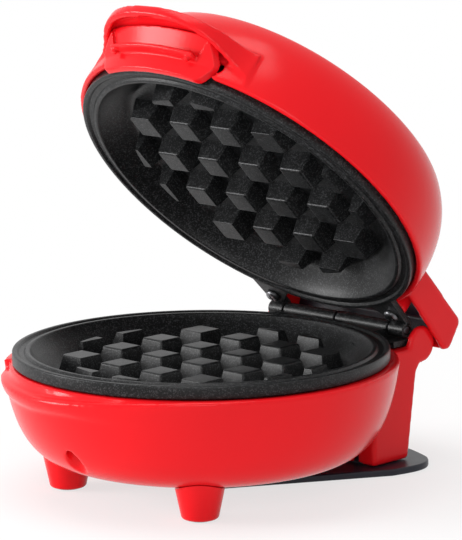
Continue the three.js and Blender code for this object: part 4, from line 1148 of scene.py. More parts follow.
    def block(self) -> Piece:
        """Models the block that stands on the heel plate, with its two ears.

        Returns:
            The solid.
        """
        section = [
            (self.block_front, self.block_floor), (self.block_heel, self.block_floor),
            (self.block_waist, self.waist_height), (self.block_rear, self.waist_height + self.wall),
            (self.block_rear, self.deck), (self.block_front, self.deck),
        ]
        body = Bench.fillet(Bench.across("block", section, self.block_half), self.block_edge)
        ears = []
        for hand in HANDS:
            inner = hand * (self.block_half - self.ear_thickness)
            start, end = [(x, self.ear_y, self.ear_height) for x in (inner, hand * self.block_half)]
            ear = Bench.rod("ear", start, end, self.ear_radius, Facets.DRUM)
            ears.append(Bench.fillet(ear, self.ear_edge, angle=60.0))
        return Bench.combine(body, ears, Boolean.JOIN)

    def block_hollow(self) -> Piece:
        """Models the space inside the block, open below.

        Returns:
            The solid.
        """
        low = self.block_floor - OVERRUN
        front, rear = self.block_front + self.wall, self.block_rear - self.wall
        section = [
            (front, low), (self.block_heel - self.wall - OVERRUN * self.lean, low),
            (self.block_waist - self.wall, self.waist_height), (rear, self.waist_height + self.wall),
            (rear, self.deck - self.wall), (front, self.deck - self.wall),
        ]
        return Bench.across("block hollow", section, self.block_half - self.wall)

    def screw_places(self) -> list[Place]:
        """Where the lower plate's screws stand: one in front and two behind."""
        rear_y = math.sqrt(self.screw_circle ** 2 - self.rear_screw_x ** 2)
        return [(0.0, -self.screw_circle), *[(hand * self.rear_screw_x, rear_y) for hand in HANDS]]

    def ledge(self) -> Piece:
        """Models the shelf that the plate's rim rests over, with the screw columns.

        Returns:
            The closed solid, trimmed to the bowl.
        """
        outer = self.top_radius - self.wall / 2
        low = self.plate_seat - self.ledge_height
        ring = Bench.ring("ledge", self.ledge_radius, outer, low, self.plate_seat)
        feet = (self.floor_height, self.floor_height + self.wall, self.floor_height + self.wall)
        columns = [Bench.upright("column", place, foot, self.column_top, self.column_radius, Facets.BOSS)
                   for place, foot in zip(self.screw_places(), feet)]
        inner = Bench.combine(ring, columns, Boolean.JOIN)
        room = self.bowl("room", self.wall / 2, self.top_height)
        return Bench.combine(inner, [room], Boolean.COMMON)

    def gland_opening(self) -> Piece:
        """Models the hole for the cord gland, square to the leaning rear wall.

        Returns:
            The solid.
        """
        middle_y = self.block_heel + self.lean * (self.gland_height - self.block_floor)
        out = Vector((0, 1, -self.lean)).normalized() * OVERRUN
        middle = Vector((0, middle_y, self.gland_height))
        return Bench.rod("gland hole", tuple(middle - out), tuple(middle + out), self.gland_hole, Facets.CAP)

    def holes(self) -> list[Piece]:
        """Models the screw pockets, the screw holes and the holes over the feet.

        Returns:
            The solids.
        """
        places = self.screw_places()
        pockets = [Bench.upright("pocket", place, -OVERRUN, self.pocket_height, self.pocket_radius,
                                 Facets.SHAFT) for place in places]
        screws = [Bench.upright("screw hole", place, self.pocket_height - self.overlap,
                                self.column_top + OVERRUN, SCREW_HOLE, Facets.SCREW) for place in places]
        feet = [Bench.upright("foot hole", (hand * self.foot_x, -self.foot_y), 0,
                              self.floor_height + OVERRUN, self.foot_hole, Facets.SCREW) for hand in HANDS]
        return [*pockets, *screws, *feet]

    def cuts(self) -> list[Piece]:
        """Models everything that is cut out of the shell once its walls stand.

        Returns:
            The solids.
        """
        high = self.top_height + OVERRUN
        recess = Bench.block("recess", (-self.recess_half, self.recess_y, self.deck),
                             (self.recess_half, HINGE.y + FAR, high))
        slot = Bench.block("lead slot", (-self.slot_half, self.slot_y, self.deck - self.wall - OVERRUN),
                           (self.slot_half, self.slot_y + self.slot_depth, self.deck + OVERRUN))
        seat_radius = self.ledge_radius - self.seat_clearance
        back = Bench.turned("plate back", [
            (0.0, self.back_space_height), (self.back_space_radius, self.back_space_height),
            (seat_radius, self.plate_seat), (seat_radius, high), (0.0, high),
        ])
        return [recess, slot, back, self.gland_opening(), *self.holes()]

    def hidden(self, point: Vector) -> bool:
        """Tells whether a point lies inside the casing, under the plate.

        Args:
            point: The point, in millimetres.

        Returns:
            True where the casing is out of sight.
        """
        skin = self.wall * self.skin_share
        if not self.floor_height + skin < point.z < self.plate_seat - self.overlap:
            return False
        if point.y > self.block_front and abs(point.x) < self.block_half:
            rear_inside = point.y < self.block_heel - self.wall and point.z < self.deck - skin
            return abs(point.x) < self.block_half - skin and rear_inside
        return math.hypot(point.x, point.y) < self.radius_at(point.z) - skin

    def build(self) -> None:
        """Models the casing, dresses it and fixes it to the base."""
        shell = self.bowl("base_casing", 0.0, self.top_height)
        Bench.combine(shell, [self.lip(), self.block()], Boolean.JOIN)
        hollow = self.bowl("hollow", self.wall, self.top_height + OVERRUN)
        Bench.combine(shell, [hollow, self.block_hollow()], Boolean.CUT)
        Bench.combine(shell, [self.ledge()], Boolean.JOIN)
        Bench.combine(shell, [self.step_cut(), *self.cuts()], Boolean.CUT)
        Bench.mould(shell, self.voxel, self.eases)
        Bench.thin_out(shell, self.hidden, self.hidden_share)
        Bench.shade(shell, angle=60.0, flat_faces=False)
        seat(shell, Body.BASE, RED, "base_shell")


@dataclass
class FrontFeet:
    """The two short tapered feet and their pads."""

    bottom_radius: float = 6.3
    top_radius: float = 9.6
    height: float = 16.0
    edge: float = 1.3
    edge_end: float = -8.0
    lift: float = 0.4
    pad_radius: float = 4.6
    pad_thickness: float = 1.5
    pad_edge: float = 0.375
    gap: float = 0.3

    def foot(self, casing: BaseCasing, place: Place, side: str) -> None:
        """Models one foot, cut to fit under the bowl.

        Args:
            casing: The casing that the foot carries.
            place: Where the foot stands.
            side: The foot's side, for its name.
        """
        slope = (self.top_radius - self.bottom_radius) / self.height
        corner = (self.bottom_radius - self.edge + slope * self.edge, self.lift + self.edge)
        profile = [(0.0, self.lift), *arc(corner, self.edge, -90, self.edge_end, steps=8),
                   (self.top_radius, self.height), (0.0, self.height)]
        foot = Bench.turned(f"foot_{side}", profile, Facets.FOOT)
        foot.data.transform(Matrix.Translation(Vector((*place, 0)) * MM))
        recess = Bench.upright("pad seat", place, -OVERRUN, self.pad_thickness + self.gap,
                               self.pad_radius + self.gap, Facets.CAP)
        bowl = casing.bowl("bowl space", -self.gap, casing.top_height)
        Bench.combine(foot, [recess, bowl], Boolean.CUT)
        Bench.shade(foot)
        seat(foot, Body.BASE, RED, f"front_foot_{side}")

    def pad(self, place: Place, side: str) -> None:
        """Models the soft pad under a foot.

        Args:
            place: Where the foot stands.
            side: The foot's side, for the pad's name.
        """
        corner = (self.pad_radius - self.pad_edge, self.pad_edge)
        profile = [(0.0, 0.0), *arc(corner, self.pad_edge, -90, 0, steps=4),
                   (self.pad_radius, self.pad_thickness), (0.0, self.pad_thickness)]
        pad = Bench.turned(f"pad_{side}", profile, Facets.CAP)
        pad.data.transform(Matrix.Translation(Vector((*place, 0)) * MM))
        Bench.shade(pad)
        seat(pad, Body.BASE, RUBBER, f"foot_pad_{side}")

    def build(self, casing: BaseCasing) -> None:
        """Models both feet and their pads.

        Args:
            casing: The casing that stands on them.
        """
        for hand, side in zip(HANDS, ("left", "right")):
            place = (hand * casing.foot_x, -casing.foot_y)
            self.foot(casing, place, side)
            self.pad(place, side)


@dataclass
class HeelPlate:
    """The black fan-shaped plate that closes the rear of the base and stands on the table."""

    thickness: float = 2.5
    edge: float = 0.7
    nose_radius: float = 10.0
    half_width: float = 45.2
    widest_y: float = 66.0
    shoulder_y: float = 54.0
    shoulder_share: float = 0.93
    corner_x: float = 38.0
    rear_radius: float = 86.0
    step_half: float = 33.5
    step_front: float = 53.2
    step_rear: float = 65.2
    step_rise: float = 2.0
    post_y: float = 14.0
    post_radius: float = 7.0
    post_top: float = 10.5
    root: float = 1.0
    screw_x: float = 29.8
    screw_y: float = 62.0
    sink_top: float = 1.8

    def outline(self) -> Outline:
        """Draws the fan, from its right shoulder round the rear to the nose under the bowl.

        Returns:
            The outline's points.
        """
        corner_y = math.sqrt(self.rear_radius ** 2 - self.corner_x ** 2)
        right = bezier([
            (self.shoulder_share * self.half_width, self.shoulder_y), (self.half_width, self.widest_y),
            (self.half_width, (self.widest_y + corner_y) / 2), (self.corner_x, corner_y),
        ], steps=16)
        sweep = math.degrees(math.asin(self.corner_x / self.rear_radius))
        rear = arc((0, 0), self.rear_radius, 90 - sweep, 90 + sweep, steps=24)[1:-1]
        left = [(-x, y) for x, y in reversed(right)]
        nose = arc((0, 0), self.nose_radius, 180, 360, steps=16)
        return [*right, *rear, *left, *nose]

    def build(self) -> None:
        """Models the plate, with its step, its post and its screw holes."""
        plate = Bench.raised("heel_fan", self.outline(), 0.0, self.thickness)
        Bench.fillet(plate, self.edge, segments=4, angle=60.0)
        foot = self.thickness - self.root
        step = Bench.block("step", (-self.step_half, self.step_front, foot),
                           (self.step_half, self.step_rear, self.thickness + self.step_rise))
        post = Bench.upright("post", (0, self.post_y), foot, self.post_top, self.post_radius, Facets.POST)
        Bench.combine(plate, [step, post], Boolean.JOIN)
        places = [(0.0, self.post_y), *[(hand * self.screw_x, self.screw_y) for hand in HANDS]]
        holes = [Bench.upright("hole", place, -OVERRUN, FAR / 4, SCREW_HOLE, Facets.SCREW)
                 for place in places]
        holes += [Bench.upright("sink", place, -OVERRUN, self.sink_top, SCREW_SINK, Facets.BOSS)
                  for place in places]
        Bench.combine(plate, holes, Boolean.CUT)
        Bench.shade(plate)
        seat(plate, Body.BASE, BLACK, "heel_plate")


@dataclass
class CookingPlate:
    """A pegged plate; way is -1 for the lower one, whose back points down, and 1 for the upper one."""

    face: float
    way: int
    radius: float = 66.1
    rim: float = 4.6
    edge: float = 0.55
    corner_share: float = 0.3
    groove_outer: float = 64.4
    groove_inner: float = 61.4
    groove_slope: float = 0.6
    groove_depth: float = 0.9
    mouth: float = 59.8
    floor_radius: float = 52.5
    depth: float = 9.9
    floor_fillet: float = 1.6
    fillet_lean: float = 0.4
    wall_low: Place = (0.34, 0.62)
    wall_high: Place = (0.74, 0.33)
    wall_bow: float = 0.5
    wall: float = 2.6
    seat_radius: float = 61.2
    back_radius: float = 54.0
    peg_rows: tuple[int, ...] = (2, 4, 6, 6, 4, 2)
    pitch: float = 19.8
    peg_top: float = 9.9
    peg_base: float = 12.6
    peg_height: float = 7.5
    peg_sink: float = 1.0
    peg_edge: float = 0.75
    peg_corner: float = 0.7
    trim_top: float = 48.2
    trim_base: float = 50.6
    post_circle: float = 27.0
    post_radius: float = 3.2
    post_count: int = 3
    shield_depth: float = 22.0
    gap: float = 0.3
    knuckle_edge: float = 0.3
    side_tilt: float = 0.5
    face_tilt: float = 0.98
    edge_reach: float = 1.2

    def at(self, depth: float) -> float:
        """Height of a depth measured from the face into the plate."""
        return self.face + self.way * depth

    def profile(self) -> Outline:
        """Draws the plate's section, from the middle of the cavity floor round to the back.

        Returns:
            Points of radius and height.
        """
        fillet, corner = self.floor_fillet, self.edge * self.corner_share
        face, half_edge, third = self.at(0), self.edge / 2, self.at(self.edge / 3)
        floor, bottom = self.at(self.depth), self.at(self.groove_depth)
        back = self.at(self.depth + self.wall)
        wall = bezier([
            (self.floor_radius + fillet * self.fillet_lean, self.at(self.depth - fillet)),
            (mix(self.floor_radius, self.mouth, self.wall_low[0]), self.at(self.depth * self.wall_low[1])),
            (mix(self.floor_radius, self.mouth, self.wall_high[0]) + self.wall_bow,
             self.at(self.depth * self.wall_high[1])),
            (self.mouth, self.at(self.edge)),
        ], steps=12)
        bend = fillet * self.corner_share
        return [
            (0.0, floor), (self.floor_radius - fillet, floor),
            (self.floor_radius - bend, self.at(self.depth - bend)), *wall,
            (self.mouth + corner, self.at(corner)), (self.mouth + self.edge, face),
            (self.groove_inner - half_edge, face), (self.groove_inner, third),
            (self.groove_inner + self.groove_slope, bottom), (self.groove_outer - self.groove_slope, bottom),
            (self.groove_outer, third), (self.groove_outer + half_edge, face),
            (self.radius - self.edge, face), (self.radius - corner, self.at(corner)),
            (self.radius, self.at(self.edge)), (self.radius, self.at(self.rim - self.edge)),
            (self.radius - self.edge, self.at(self.rim)), (self.seat_radius, self.at(self.rim)),
            (self.back_radius, back), (0.0, back),
        ]

    def materials(self) -> list[bpy.types.Material]:
        """The coats in the order of their slots."""
        return [COAT.material(), COAT_EDGE_HIGHLIGHT.material(), COAT_RIM_SPECKS_AND_SHEEN.material()]

    def coat(self, piece: Piece, slot: Coat = Coat.FACE) -> Piece:
        """Gives a piece the row of coats, with all of its faces in one slot.

        Args:
            piece: The piece, which has no materials yet.
            slot: The coat that its faces get.

        Returns:
            The same piece.
        """
        for material in self.materials():
            piece.data.materials.append(material)
        for face in piece.data.polygons:
            face.material_index = slot
        return piece

    def mark_edges(self, plate: Piece) -> Piece:
        """Gives the eased rings round the rim the glossier coat with a painted highlight, and the rim's side
        the speckled coat with a painted sheen.

        Args:
            plate: The turned plate.

        Returns:
            The same piece.
        """
        reach = self.edge * self.edge_reach
        rings = (self.mouth + self.edge / 2, self.groove_inner, self.groove_outer, self.radius)
        for face in plate.data.polygons:
            place = face.center / MM
            radius = math.hypot(place.x, place.y)
            tilt = abs(face.normal.z)
            if radius > self.radius - self.edge / 2 and tilt < self.side_tilt:
                face.material_index = Coat.RIM
            near_ring = min(abs(radius - ring) for ring in rings) < reach
            if near_ring and tilt < self.face_tilt and abs(place.z - self.face) < self.edge:
                face.material_index = Coat.EDGE
        return plate

    def trim(self) -> Piece:
        """Models the round block that the outer pegs are trimmed to.

        Returns:
            The solid.
        """
        deep = self.at(self.depth + self.peg_sink * 2)
        top = self.at(self.depth - self.peg_height)
        profile = [(0.0, deep), (self.trim_base, deep), (self.trim_base, self.at(self.depth)),
                   (self.trim_top, top), (self.trim_top, self.at(0)), (0.0, self.at(0))]
        return Bench.turned("trim", profile, Facets.DRUM)

    def peg(self) -> Piece:
        """Models one peg at the plate's middle, narrower at its top.

        Returns:
            The peg, in the plate's coats.
        """
        length = self.peg_height + self.peg_sink
        foot = self.at(self.depth + self.peg_sink)
        top = self.at(self.depth - self.peg_height)
        low, high = min(foot, top), max(foot, top)
        base = self.peg_base + (self.peg_base - self.peg_top) * self.peg_sink / length
        piece = Bench.block("peg", (-base / 2, -base / 2, low), (base / 2, base / 2, high))
        for vertex in piece.data.vertices:
            if abs(vertex.co.z / MM - top) < self.edge:
                vertex.co.x *= self.peg_top / base
                vertex.co.y *= self.peg_top / base
        return self.coat(piece)

    def pegs(self) -> list[Piece]:
        """Sets all pegs in their rows, trimmed and with eased edges.

        Returns:
            The pegs.
        """
        master = self.peg()
        made = []
        middle_row = (len(self.peg_rows) - 1) / 2
        for row, count in enumerate(self.peg_rows):
            for i in range(count):
                x = (i - (count - 1) / 2) * self.pitch
                y = (row - middle_row) * self.pitch
                peg = Bench.copy(master, "peg", Matrix.Translation(Vector((x, y, 0)) * MM))
                if math.hypot(x, y) + self.peg_base * self.peg_corner > self.trim_top:
                    Bench.combine(peg, [self.trim()], Boolean.COMMON)
                if peg.data.polygons:
                    made.append(Bench.fillet(peg, self.peg_edge, angle=25.0))
                else:
                    bpy.data.objects.remove(peg)
        bpy.data.objects.remove(master)
        return made

    def posts(self) -> list[Piece]:
        """Models the posts on the back that hold the heat shield.

        Returns:
            The posts, bored for their screws.
        """
        root, tip = self.at(self.depth + self.wall / 2), self.at(self.shield_depth - self.gap)
        bite, past = self.at(self.shield_depth - SCREW_BITE), self.at(self.shield_depth + OVERRUN)
        made = []
        for i in range(self.post_count):
            angle = -math.pi / 2 + i * FULL_TURN / self.post_count
            place = (self.post_circle * math.cos(angle), self.post_circle * math.sin(angle))
            post = Bench.upright("post", place, root, tip, self.post_radius, Facets.BOSS)
            hole = Bench.upright("hole", place, bite, past, SCREW_HOLE, Facets.SCREW)
            made.append(Bench.combine(post, [hole], Boolean.CUT))
        return made

    def round_part(self, name: str) -> list[Piece]:
        """The turned plate with its pegs and posts."""
        plate = self.mark_edges(self.coat(Bench.turned(name, self.profile(), Facets.PLATE)))
        return [plate, *self.pegs(), *self.posts()]

    def bore(self, start: float, end: float) -> Piece:
        """Models the room of the hinge pin between two places along it.

        Args:
            start: Where it starts, along X.
            end: Where it ends.

        Returns:
            The solid.
        """
        ends = [(x, HINGE.y, HINGE.height) for x in (start, end)]
        return Bench.rod("bore", ends[0], ends[1], HINGE.pin + self.gap, Facets.BOSS)

    def knuckle(self, start: float, end: float) -> Piece:
        """Models one bored barrel of the hinge between two places along the pin.

        Args:
            start: Where it starts, along X.
            end: Where it ends.

        Returns:
            The barrel, in the speckled rim coat, which is lifted lighter as a painted sheen.
        """
        ends = [(x, HINGE.y, HINGE.height) for x in (start, end)]
        barrel = Bench.rod("knuckle", ends[0], ends[1], HINGE.barrel, Facets.CAP)
        Bench.fillet(barrel, self.knuckle_edge, segments=2, angle=60.0)
        Bench.combine(barrel, [self.bore(start - OVERRUN, end + OVERRUN)], Boolean.CUT)
        return self.coat(barrel, Coat.RIM)


@dataclass
class LowerPlate(CookingPlate):
    """The lower plate, with the leaf and the two long middle knuckles of the hinge."""

    leaf_half: float = 30.5
    leaf_inner: float = 60.4
    leaf_floor: float = 43.3
    leaf_edge: float = 0.5
    web_depth: float = 3.0
    web_edge: float = 0.3
    web_clearance: float = 0.6
    overlap: float = 1.0
    boss_radius: float = 3.6
    boss_drop: float = 3.3
    lug_end: float = 33.05
    lug_front: float = 64.5
    space_low: float = 30.0
    space_high: float = 60.0
    rim_clearance: float = 0.6

    @property
    def leaf_top(self) -> float:
        """Height of the leaf's top, just under the knuckles."""
        return HINGE.height - HINGE.barrel - self.gap

    @property
    def leaf_nose(self) -> float:
        """Where the leaf's rear edge lies."""
        return HINGE.y + HINGE.barrel / 2

    def rim_space(self) -> Piece:
        """The round plate's own room, which the pieces behind it keep clear of."""
        return Bench.drum("rim space", self.radius - self.rim_clearance, self.space_low, self.space_high)

    def leaf(self) -> Piece:
        """Models the thick leaf behind the rim.

        Returns:
            The leaf, with eased edges.
        """
        section = [(self.leaf_inner, self.leaf_floor), (HINGE.y, self.leaf_floor),
                   (self.leaf_nose, self.leaf_top), (self.leaf_inner, self.leaf_top)]
        leaf = Bench.across("leaf", section, self.leaf_half)
        Bench.combine(leaf, [self.rim_space()], Boolean.CUT)
        return Bench.fillet(leaf, self.leaf_edge, angle=40.0)

    def web(self, start: float, end: float) -> Piece:
        """Models the web that carries a knuckle.

        Args:
            start: Where it starts, along X.
            end: Where it ends.

        Returns:
            The web, with eased edges.
        """
        rear = HINGE.y - HINGE.pin - self.web_clearance
        web = Bench.block("web", (start, self.radius - self.web_depth, self.leaf_top - self.overlap),
                          (end, rear, HINGE.height))
        Bench.combine(web, [self.rim_space()], Boolean.CUT)
        return Bench.fillet(web, self.web_edge, segments=2, angle=40.0)

    def lug(self, hand: int) -> Piece:
        """Models the lug at one end of the leaf.

        Args:
            hand: -1 for the left end and 1 for the right end.

        Returns:
            The lug, with eased edges.
        """
        reach, root = hand * self.lug_end, hand * (self.leaf_half - self.overlap)
        front, rear = self.lug_front, self.leaf_nose
        plan = [(root, front), (reach, front), (reach, rear), (root, rear)]
        lug = Bench.raised("lug", plan, self.leaf_floor, self.leaf_top - self.leaf_floor)
        return Bench.fillet(lug, self.leaf_edge, angle=40.0)

    def bosses(self, places: list[Place]) -> list[Piece]:
        """Models the bosses below the rim that take the screws of the base.

        Args:
            places: Where the screws stand.

        Returns:
            The bored bosses.
        """
        top = self.at(self.rim)
        made = []
        for place in places:
            boss = Bench.upright("boss", place, top - self.boss_drop, top + self.overlap, self.boss_radius,
                                 Facets.BOSS)
            hole = Bench.upright("hole", place, top - OVERRUN, top, SCREW_HOLE, Facets.SCREW)
            made.append(Bench.combine(boss, [hole], Boolean.CUT))
        return made

    def build(self, casing: BaseCasing) -> None:
        """Models the lower plate, dresses it and fixes it to the base.

        Args:
            casing: The casing that it is screwed to.
        """
        parts = [*self.round_part("lower_plate"), self.leaf()]
        for hand in HANDS:
            start, end = sorted(hand * edge for edge in HINGE.inner_edges())
            parts += [self.web(start, end), self.lug(hand), self.knuckle(start, end)]
        parts += self.bosses(casing.screw_places())
        plate = Bench.gather("lower_plate", parts, self.materials())
        Bench.shade(plate, angle=50.0)
        seat(plate, Body.BASE, COAT, "lower_cooking_plate")


@dataclass
class UpperPlate(CookingPlate):
    """The upper plate, with the two flat arms that carry its short outer knuckles."""

    arm_thickness: float = 2.4
    arm_edge: float = 0.35
    root_inner: Place = (20.0, 61.8)
    root_outer: Place = (34.0, 55.5)
    neck_round: float = 1.2
    screw: Place = (29.0, 65.0)

    def arm(self, hand: int) -> list[Piece]:
        """Models one arm, with its knuckle and its screw hole.

        Args:
            hand: -1 for the left arm and 1 for the right arm.

        Returns:
            The arm and its knuckle.
        """
        inner, outer = HINGE.outer_edges()
        neck = HINGE.y - HINGE.barrel - HINGE.gap
        outline = rounded([
            (*self.root_inner, 0.0), (*self.root_outer, 0.0), (outer, neck, self.neck_round),
            (outer, HINGE.y, 0.0), (inner, HINGE.y, 0.0), (inner, neck, self.neck_round),
        ], steps=4)
        flat = Bench.raised("arm", [(hand * x, y) for x, y in outline], self.face, self.arm_thickness)
        hole = Bench.upright("hole", (hand * self.screw[0], self.screw[1]), self.face - OVERRUN,
                             self.face + OVERRUN, SCREW_HOLE, Facets.BOSS)
        Bench.combine(flat, [hole, self.bore(-FAR, FAR)], Boolean.CUT)
        Bench.fillet(flat, self.arm_edge, segments=2, angle=50.0)
        start, end = sorted((hand * inner, hand * outer))
        return [flat, self.knuckle(start, end)]

    def build(self) -> None:
        """Models the upper plate, lays it open and fixes it to the lid."""
        parts = [*self.round_part("upper_plate"), *self.arm(-1), *self.arm(1)]
        plate = Bench.gather("upper_plate", parts, self.materials())
        Bench.shade(plate, angle=50.0)
        HINGE.lay_open(plate)
        seat(plate, Body.LID, COAT, "upper_cooking_plate")


@dataclass
class LidCasing:
    """The red dome of the lid, with the visor at its front and the hood at its rear."""

    wall: float = 2.2
    rim_radius: float = 68.7
    rim_height: float = 53.0
    crease_radius: float = 60.8
    crease_height: float = 82.0
    top_height: float = 90.2
    side_bulge: float = 0.4
    side_pull: float = 0.45
    crease_pull: float = 0.8
    crease_turn: float = 7.0
    cap_edge: Place = (49.5, 87.9)
    cap_top: float = 28.0
    ledge_inner: float = 62.0
    ledge_floor: float = 55.2
    ledge_height: float = 2.2
    half_width: float = 30.9
    side_y: float = 55.8
    reach: float = 26.6
    roundness: float = 2.34
    flare: float = 10.5
    flare_sharpness: float = 7.4
    plan_steps: int = 64
    crowding: float = 0.8
    strap_end: float = 58.9
    strap_foot: float = 55.0
    strap: float = 2.4
    ridge: float = 66.4
    roof_back: float = 67.9
    roof: float = 2.2
    front_edge: float = 62.9
    edge_rise: float = 0.31
    edge_crowding: float = 3.0
    edge_steps: int = 28
    hood_half: float = 38.6
    hood_front: float = 50.0
    hood_rear: float = 90.1
    hood_rear_top: float = 87.7
    hood_chamfer: float = 2.3
    hood_top: float = 67.9
    hood_rear_top_height: float = 66.4
    hood_front_low: float = 56.3
    hood_rear_low: float = 53.1
    hood_corner: float = 3.0
    hood_low_rounds: Place = (0.6, 1.2)
    hood_edge: float = 0.9
    notch_half: float = 27.5
    notch_low: float = 25.1
    notch_knee: float = 57.0
    notch_top: float = 59.5
    notch_clearance: float = 0.3
    arm_screw: Place = (29.0, 65.0)
    arm_boss_radius: float = 3.8
    arm_boss_foot: float = 53.0
    arm_boss_height: float = 7.5
    lens_y: float = 30.0
    lens_hole: float = 3.7
    liner_screw: Place = (13.0, 63.6)
    sink_depth: float = 1.8
    slot_half: float = 5.0
    slot_low: float = 59.0
    slot_high: float = 62.5
    overlap: float = 1.0
    skin_share: float = 0.8
    hidden_share: float = 0.1
    voxel: float = 0.72
    eases: int = 5
    inner: Outline = field(default_factory=list)

    def __post_init__(self) -> None:
        """Works the line of the dome's hidden inside out once."""
        self.inner = offset_profile(self.dome_profile(), self.wall * self.skin_share)

    def dome_profile(self) -> Outline:
        """Draws the dome's outer face, from its rim to the middle of its top.

        Returns:
            The profile's points.
        """
        rise = self.crease_height - self.rim_height
        crease = (self.crease_radius, self.crease_height)
        shoulder = mix(self.crease_radius, self.rim_radius, self.crease_pull)
        side = bezier([
            (self.rim_radius, self.rim_height),
            (self.rim_radius + self.side_bulge, self.rim_height + self.side_pull * rise),
            (shoulder, self.crease_height - self.crease_turn), crease,
        ], steps=28)
        top = (0.0, self.top_height)
        cap = bezier([crease, self.cap_edge, (self.cap_top, self.top_height), top], steps=20)
        return [*side, *cap[1:]]

    def dome(self, name: str, inset: float) -> Piece:
        """Turns the dome as a filled solid.

        Args:
            name: Name of the new piece.
            inset: How far its face lies inside the dome's outer face.

        Returns:
            The solid.
        """
        profile = offset_profile(self.dome_profile(), inset)
        floor = self.rim_height - OVERRUN if inset > 0 else self.rim_height
        return Bench.turned(name, [(0.0, floor), (profile[0][0], floor), *profile])

    def visor_plan(self, inset: float, flare: float) -> Outline:
        """Draws the visor seen from above, from its left side round the front to its right side.

        Args:
            inset: How far the line lies inside the visor's outer face.
            flare: How far its ends spread to the sides.

        Returns:
            The plan's points.
        """
        across, ahead = self.half_width - inset, self.reach - inset
        power = 2 / self.roundness
        points = []
        for i in range(self.plan_steps + 1):
            turn = FULL_TURN * i / self.plan_steps
            angle = (turn - self.crowding * math.sin(turn)) / 2
            sine = max(math.sin(angle), 0.0)
            spread = flare * (1 - sine) ** self.flare_sharpness
            x = across * abs(math.cos(angle)) ** power + spread
            points.append((-math.copysign(x, math.cos(angle)), -self.side_y - ahead * sine ** power))
        return points

    def roof_height(self, y: float) -> float:
        """Height of the visor's roof at a place along Y."""
        front = -self.side_y - self.reach
        return mix(self.ridge, self.roof_back, (y - front) / (-self.side_y - front))

    def visor(self) -> Piece:
        """Models the visor's outer form: a plan raised and crossed with its side view.

        Returns:
            The solid.
        """
        front = -self.side_y - self.reach
        ahead = front - OVERRUN
        edge = []
        for i in range(self.edge_steps + 1):
            share = (i / self.edge_steps) ** self.edge_crowding
            height = mix(self.strap_foot, self.front_edge, share ** self.edge_rise)
            edge.append((mix(-self.strap_end, front, share), height))
        top = self.roof_height(-self.strap_end)
        section = [*edge, (ahead, self.front_edge), (ahead, self.roof_height(ahead)), (-self.strap_end, top)]
        side = Bench.across("visor side", section, FAR)
        low = self.strap_foot - OVERRUN
        plan = Bench.raised("visor plan", self.visor_plan(0, self.flare), low, 4 * OVERRUN)
        return Bench.combine(plan, [side], Boolean.COMMON)

    def visor_pocket(self) -> Piece:
        """Models the space under the visor's roof.

        Returns:
            The solid.
        """
        ahead, back = -self.side_y - self.reach - OVERRUN, -self.side_y + OVERRUN
        low = self.strap_foot - 2 * OVERRUN
        section = [(back, low), (ahead, low), (ahead, self.roof_height(ahead) - self.roof),
                   (back, self.roof_height(back) - self.roof)]
        side = Bench.across("pocket side", section, FAR)
        plan = Bench.raised("pocket plan", self.visor_plan(self.strap, self.flare), low, 5 * OVERRUN)
        return Bench.combine(plan, [side], Boolean.COMMON)

    def hood(self) -> Piece:
        """Models the hood's outer form, seen from the side and drawn out across the lid.

        Returns:
            The closed solid, with eased edges.
        """
        section = rounded([
            (self.hood_front, self.hood_front_low, 0.0),
            (self.hood_rear - self.hood_chamfer, self.hood_rear_low, self.hood_low_rounds[0]),
            (self.hood_rear, self.hood_rear_low + self.hood_chamfer, self.hood_low_rounds[1]),
            (self.hood_rear_top, self.hood_rear_top_height, self.hood_corner),
            (self.hood_front, self.hood_top, 0.0),
        ])
        return Bench.fillet(Bench.across("hood", section, self.hood_half), self.hood_edge)

    def hood_pocket(self) -> Piece:
        """Models the space inside the hood, open below.

        Returns:
            The solid.
        """
        low, rear = self.hood_rear_low - OVERRUN, self.hood_rear - self.wall
        section = rounded([
            (self.hood_front, low, 0.0), (rear, low, 0.0),
            (rear, self.hood_rear_low + self.hood_chamfer, 0.0),
            (self.hood_rear_top - self.wall, self.hood_rear_top_height - self.wall, self.hood_corner / 2),
            (self.hood_front, self.hood_top - self.wall, 0.0),
        ])
        return Bench.across("hood pocket", section, self.hood_half - self.wall)

    def notch(self) -> Piece:
        """Models the opening in the dome's front wall that the liner fills.

        Returns:
            The solid.
        """
        low = self.rim_height - OVERRUN
        slope = (self.notch_half - self.notch_low) / (self.notch_knee - self.rim_height)
        right = [(self.notch_low - slope * OVERRUN, low), (self.notch_half, self.notch_knee),
                 (self.notch_half, self.notch_top)]
        left = [(-x, z) for x, z in reversed(right)]
        depth = self.rim_radius - self.ledge_inner + OVERRUN
        block = Bench.driven("notch", [left[-1], *right, *left[:-1]], -self.rim_radius - self.overlap, depth)
        core_radius = self.rim_radius - self.wall - self.notch_clearance
        core = Bench.drum("core", core_radius, low - OVERRUN, self.notch_top + OVERRUN)
        return Bench.combine(block, [core], Boolean.CUT)

    def arm_places(self) -> list[Place]:
        """Where the screws of the upper plate's arms stand."""
        return [(hand * self.arm_screw[0], self.arm_screw[1]) for hand in HANDS]

    def liner_places(self) -> list[Place]:
        """Where the liner's screws stand."""
        return [(hand * self.liner_screw[0], -self.liner_screw[1]) for hand in HANDS]

    def inside(self) -> list[Piece]:
        """Models the ledge round the rim and the bosses of the arm screws.

        Returns:
            The solids.
        """
        outer = self.rim_radius - self.wall / 2
        top = self.ledge_floor + self.ledge_height
        ring = Bench.ring("ledge", self.ledge_inner, outer, self.ledge_floor, top)
        boss_top = self.arm_boss_foot + self.arm_boss_height
        bosses = [Bench.upright("boss", place, self.arm_boss_foot, boss_top, self.arm_boss_radius,
                                Facets.SHAFT) for place in self.arm_places()]
        return [ring, *bosses]

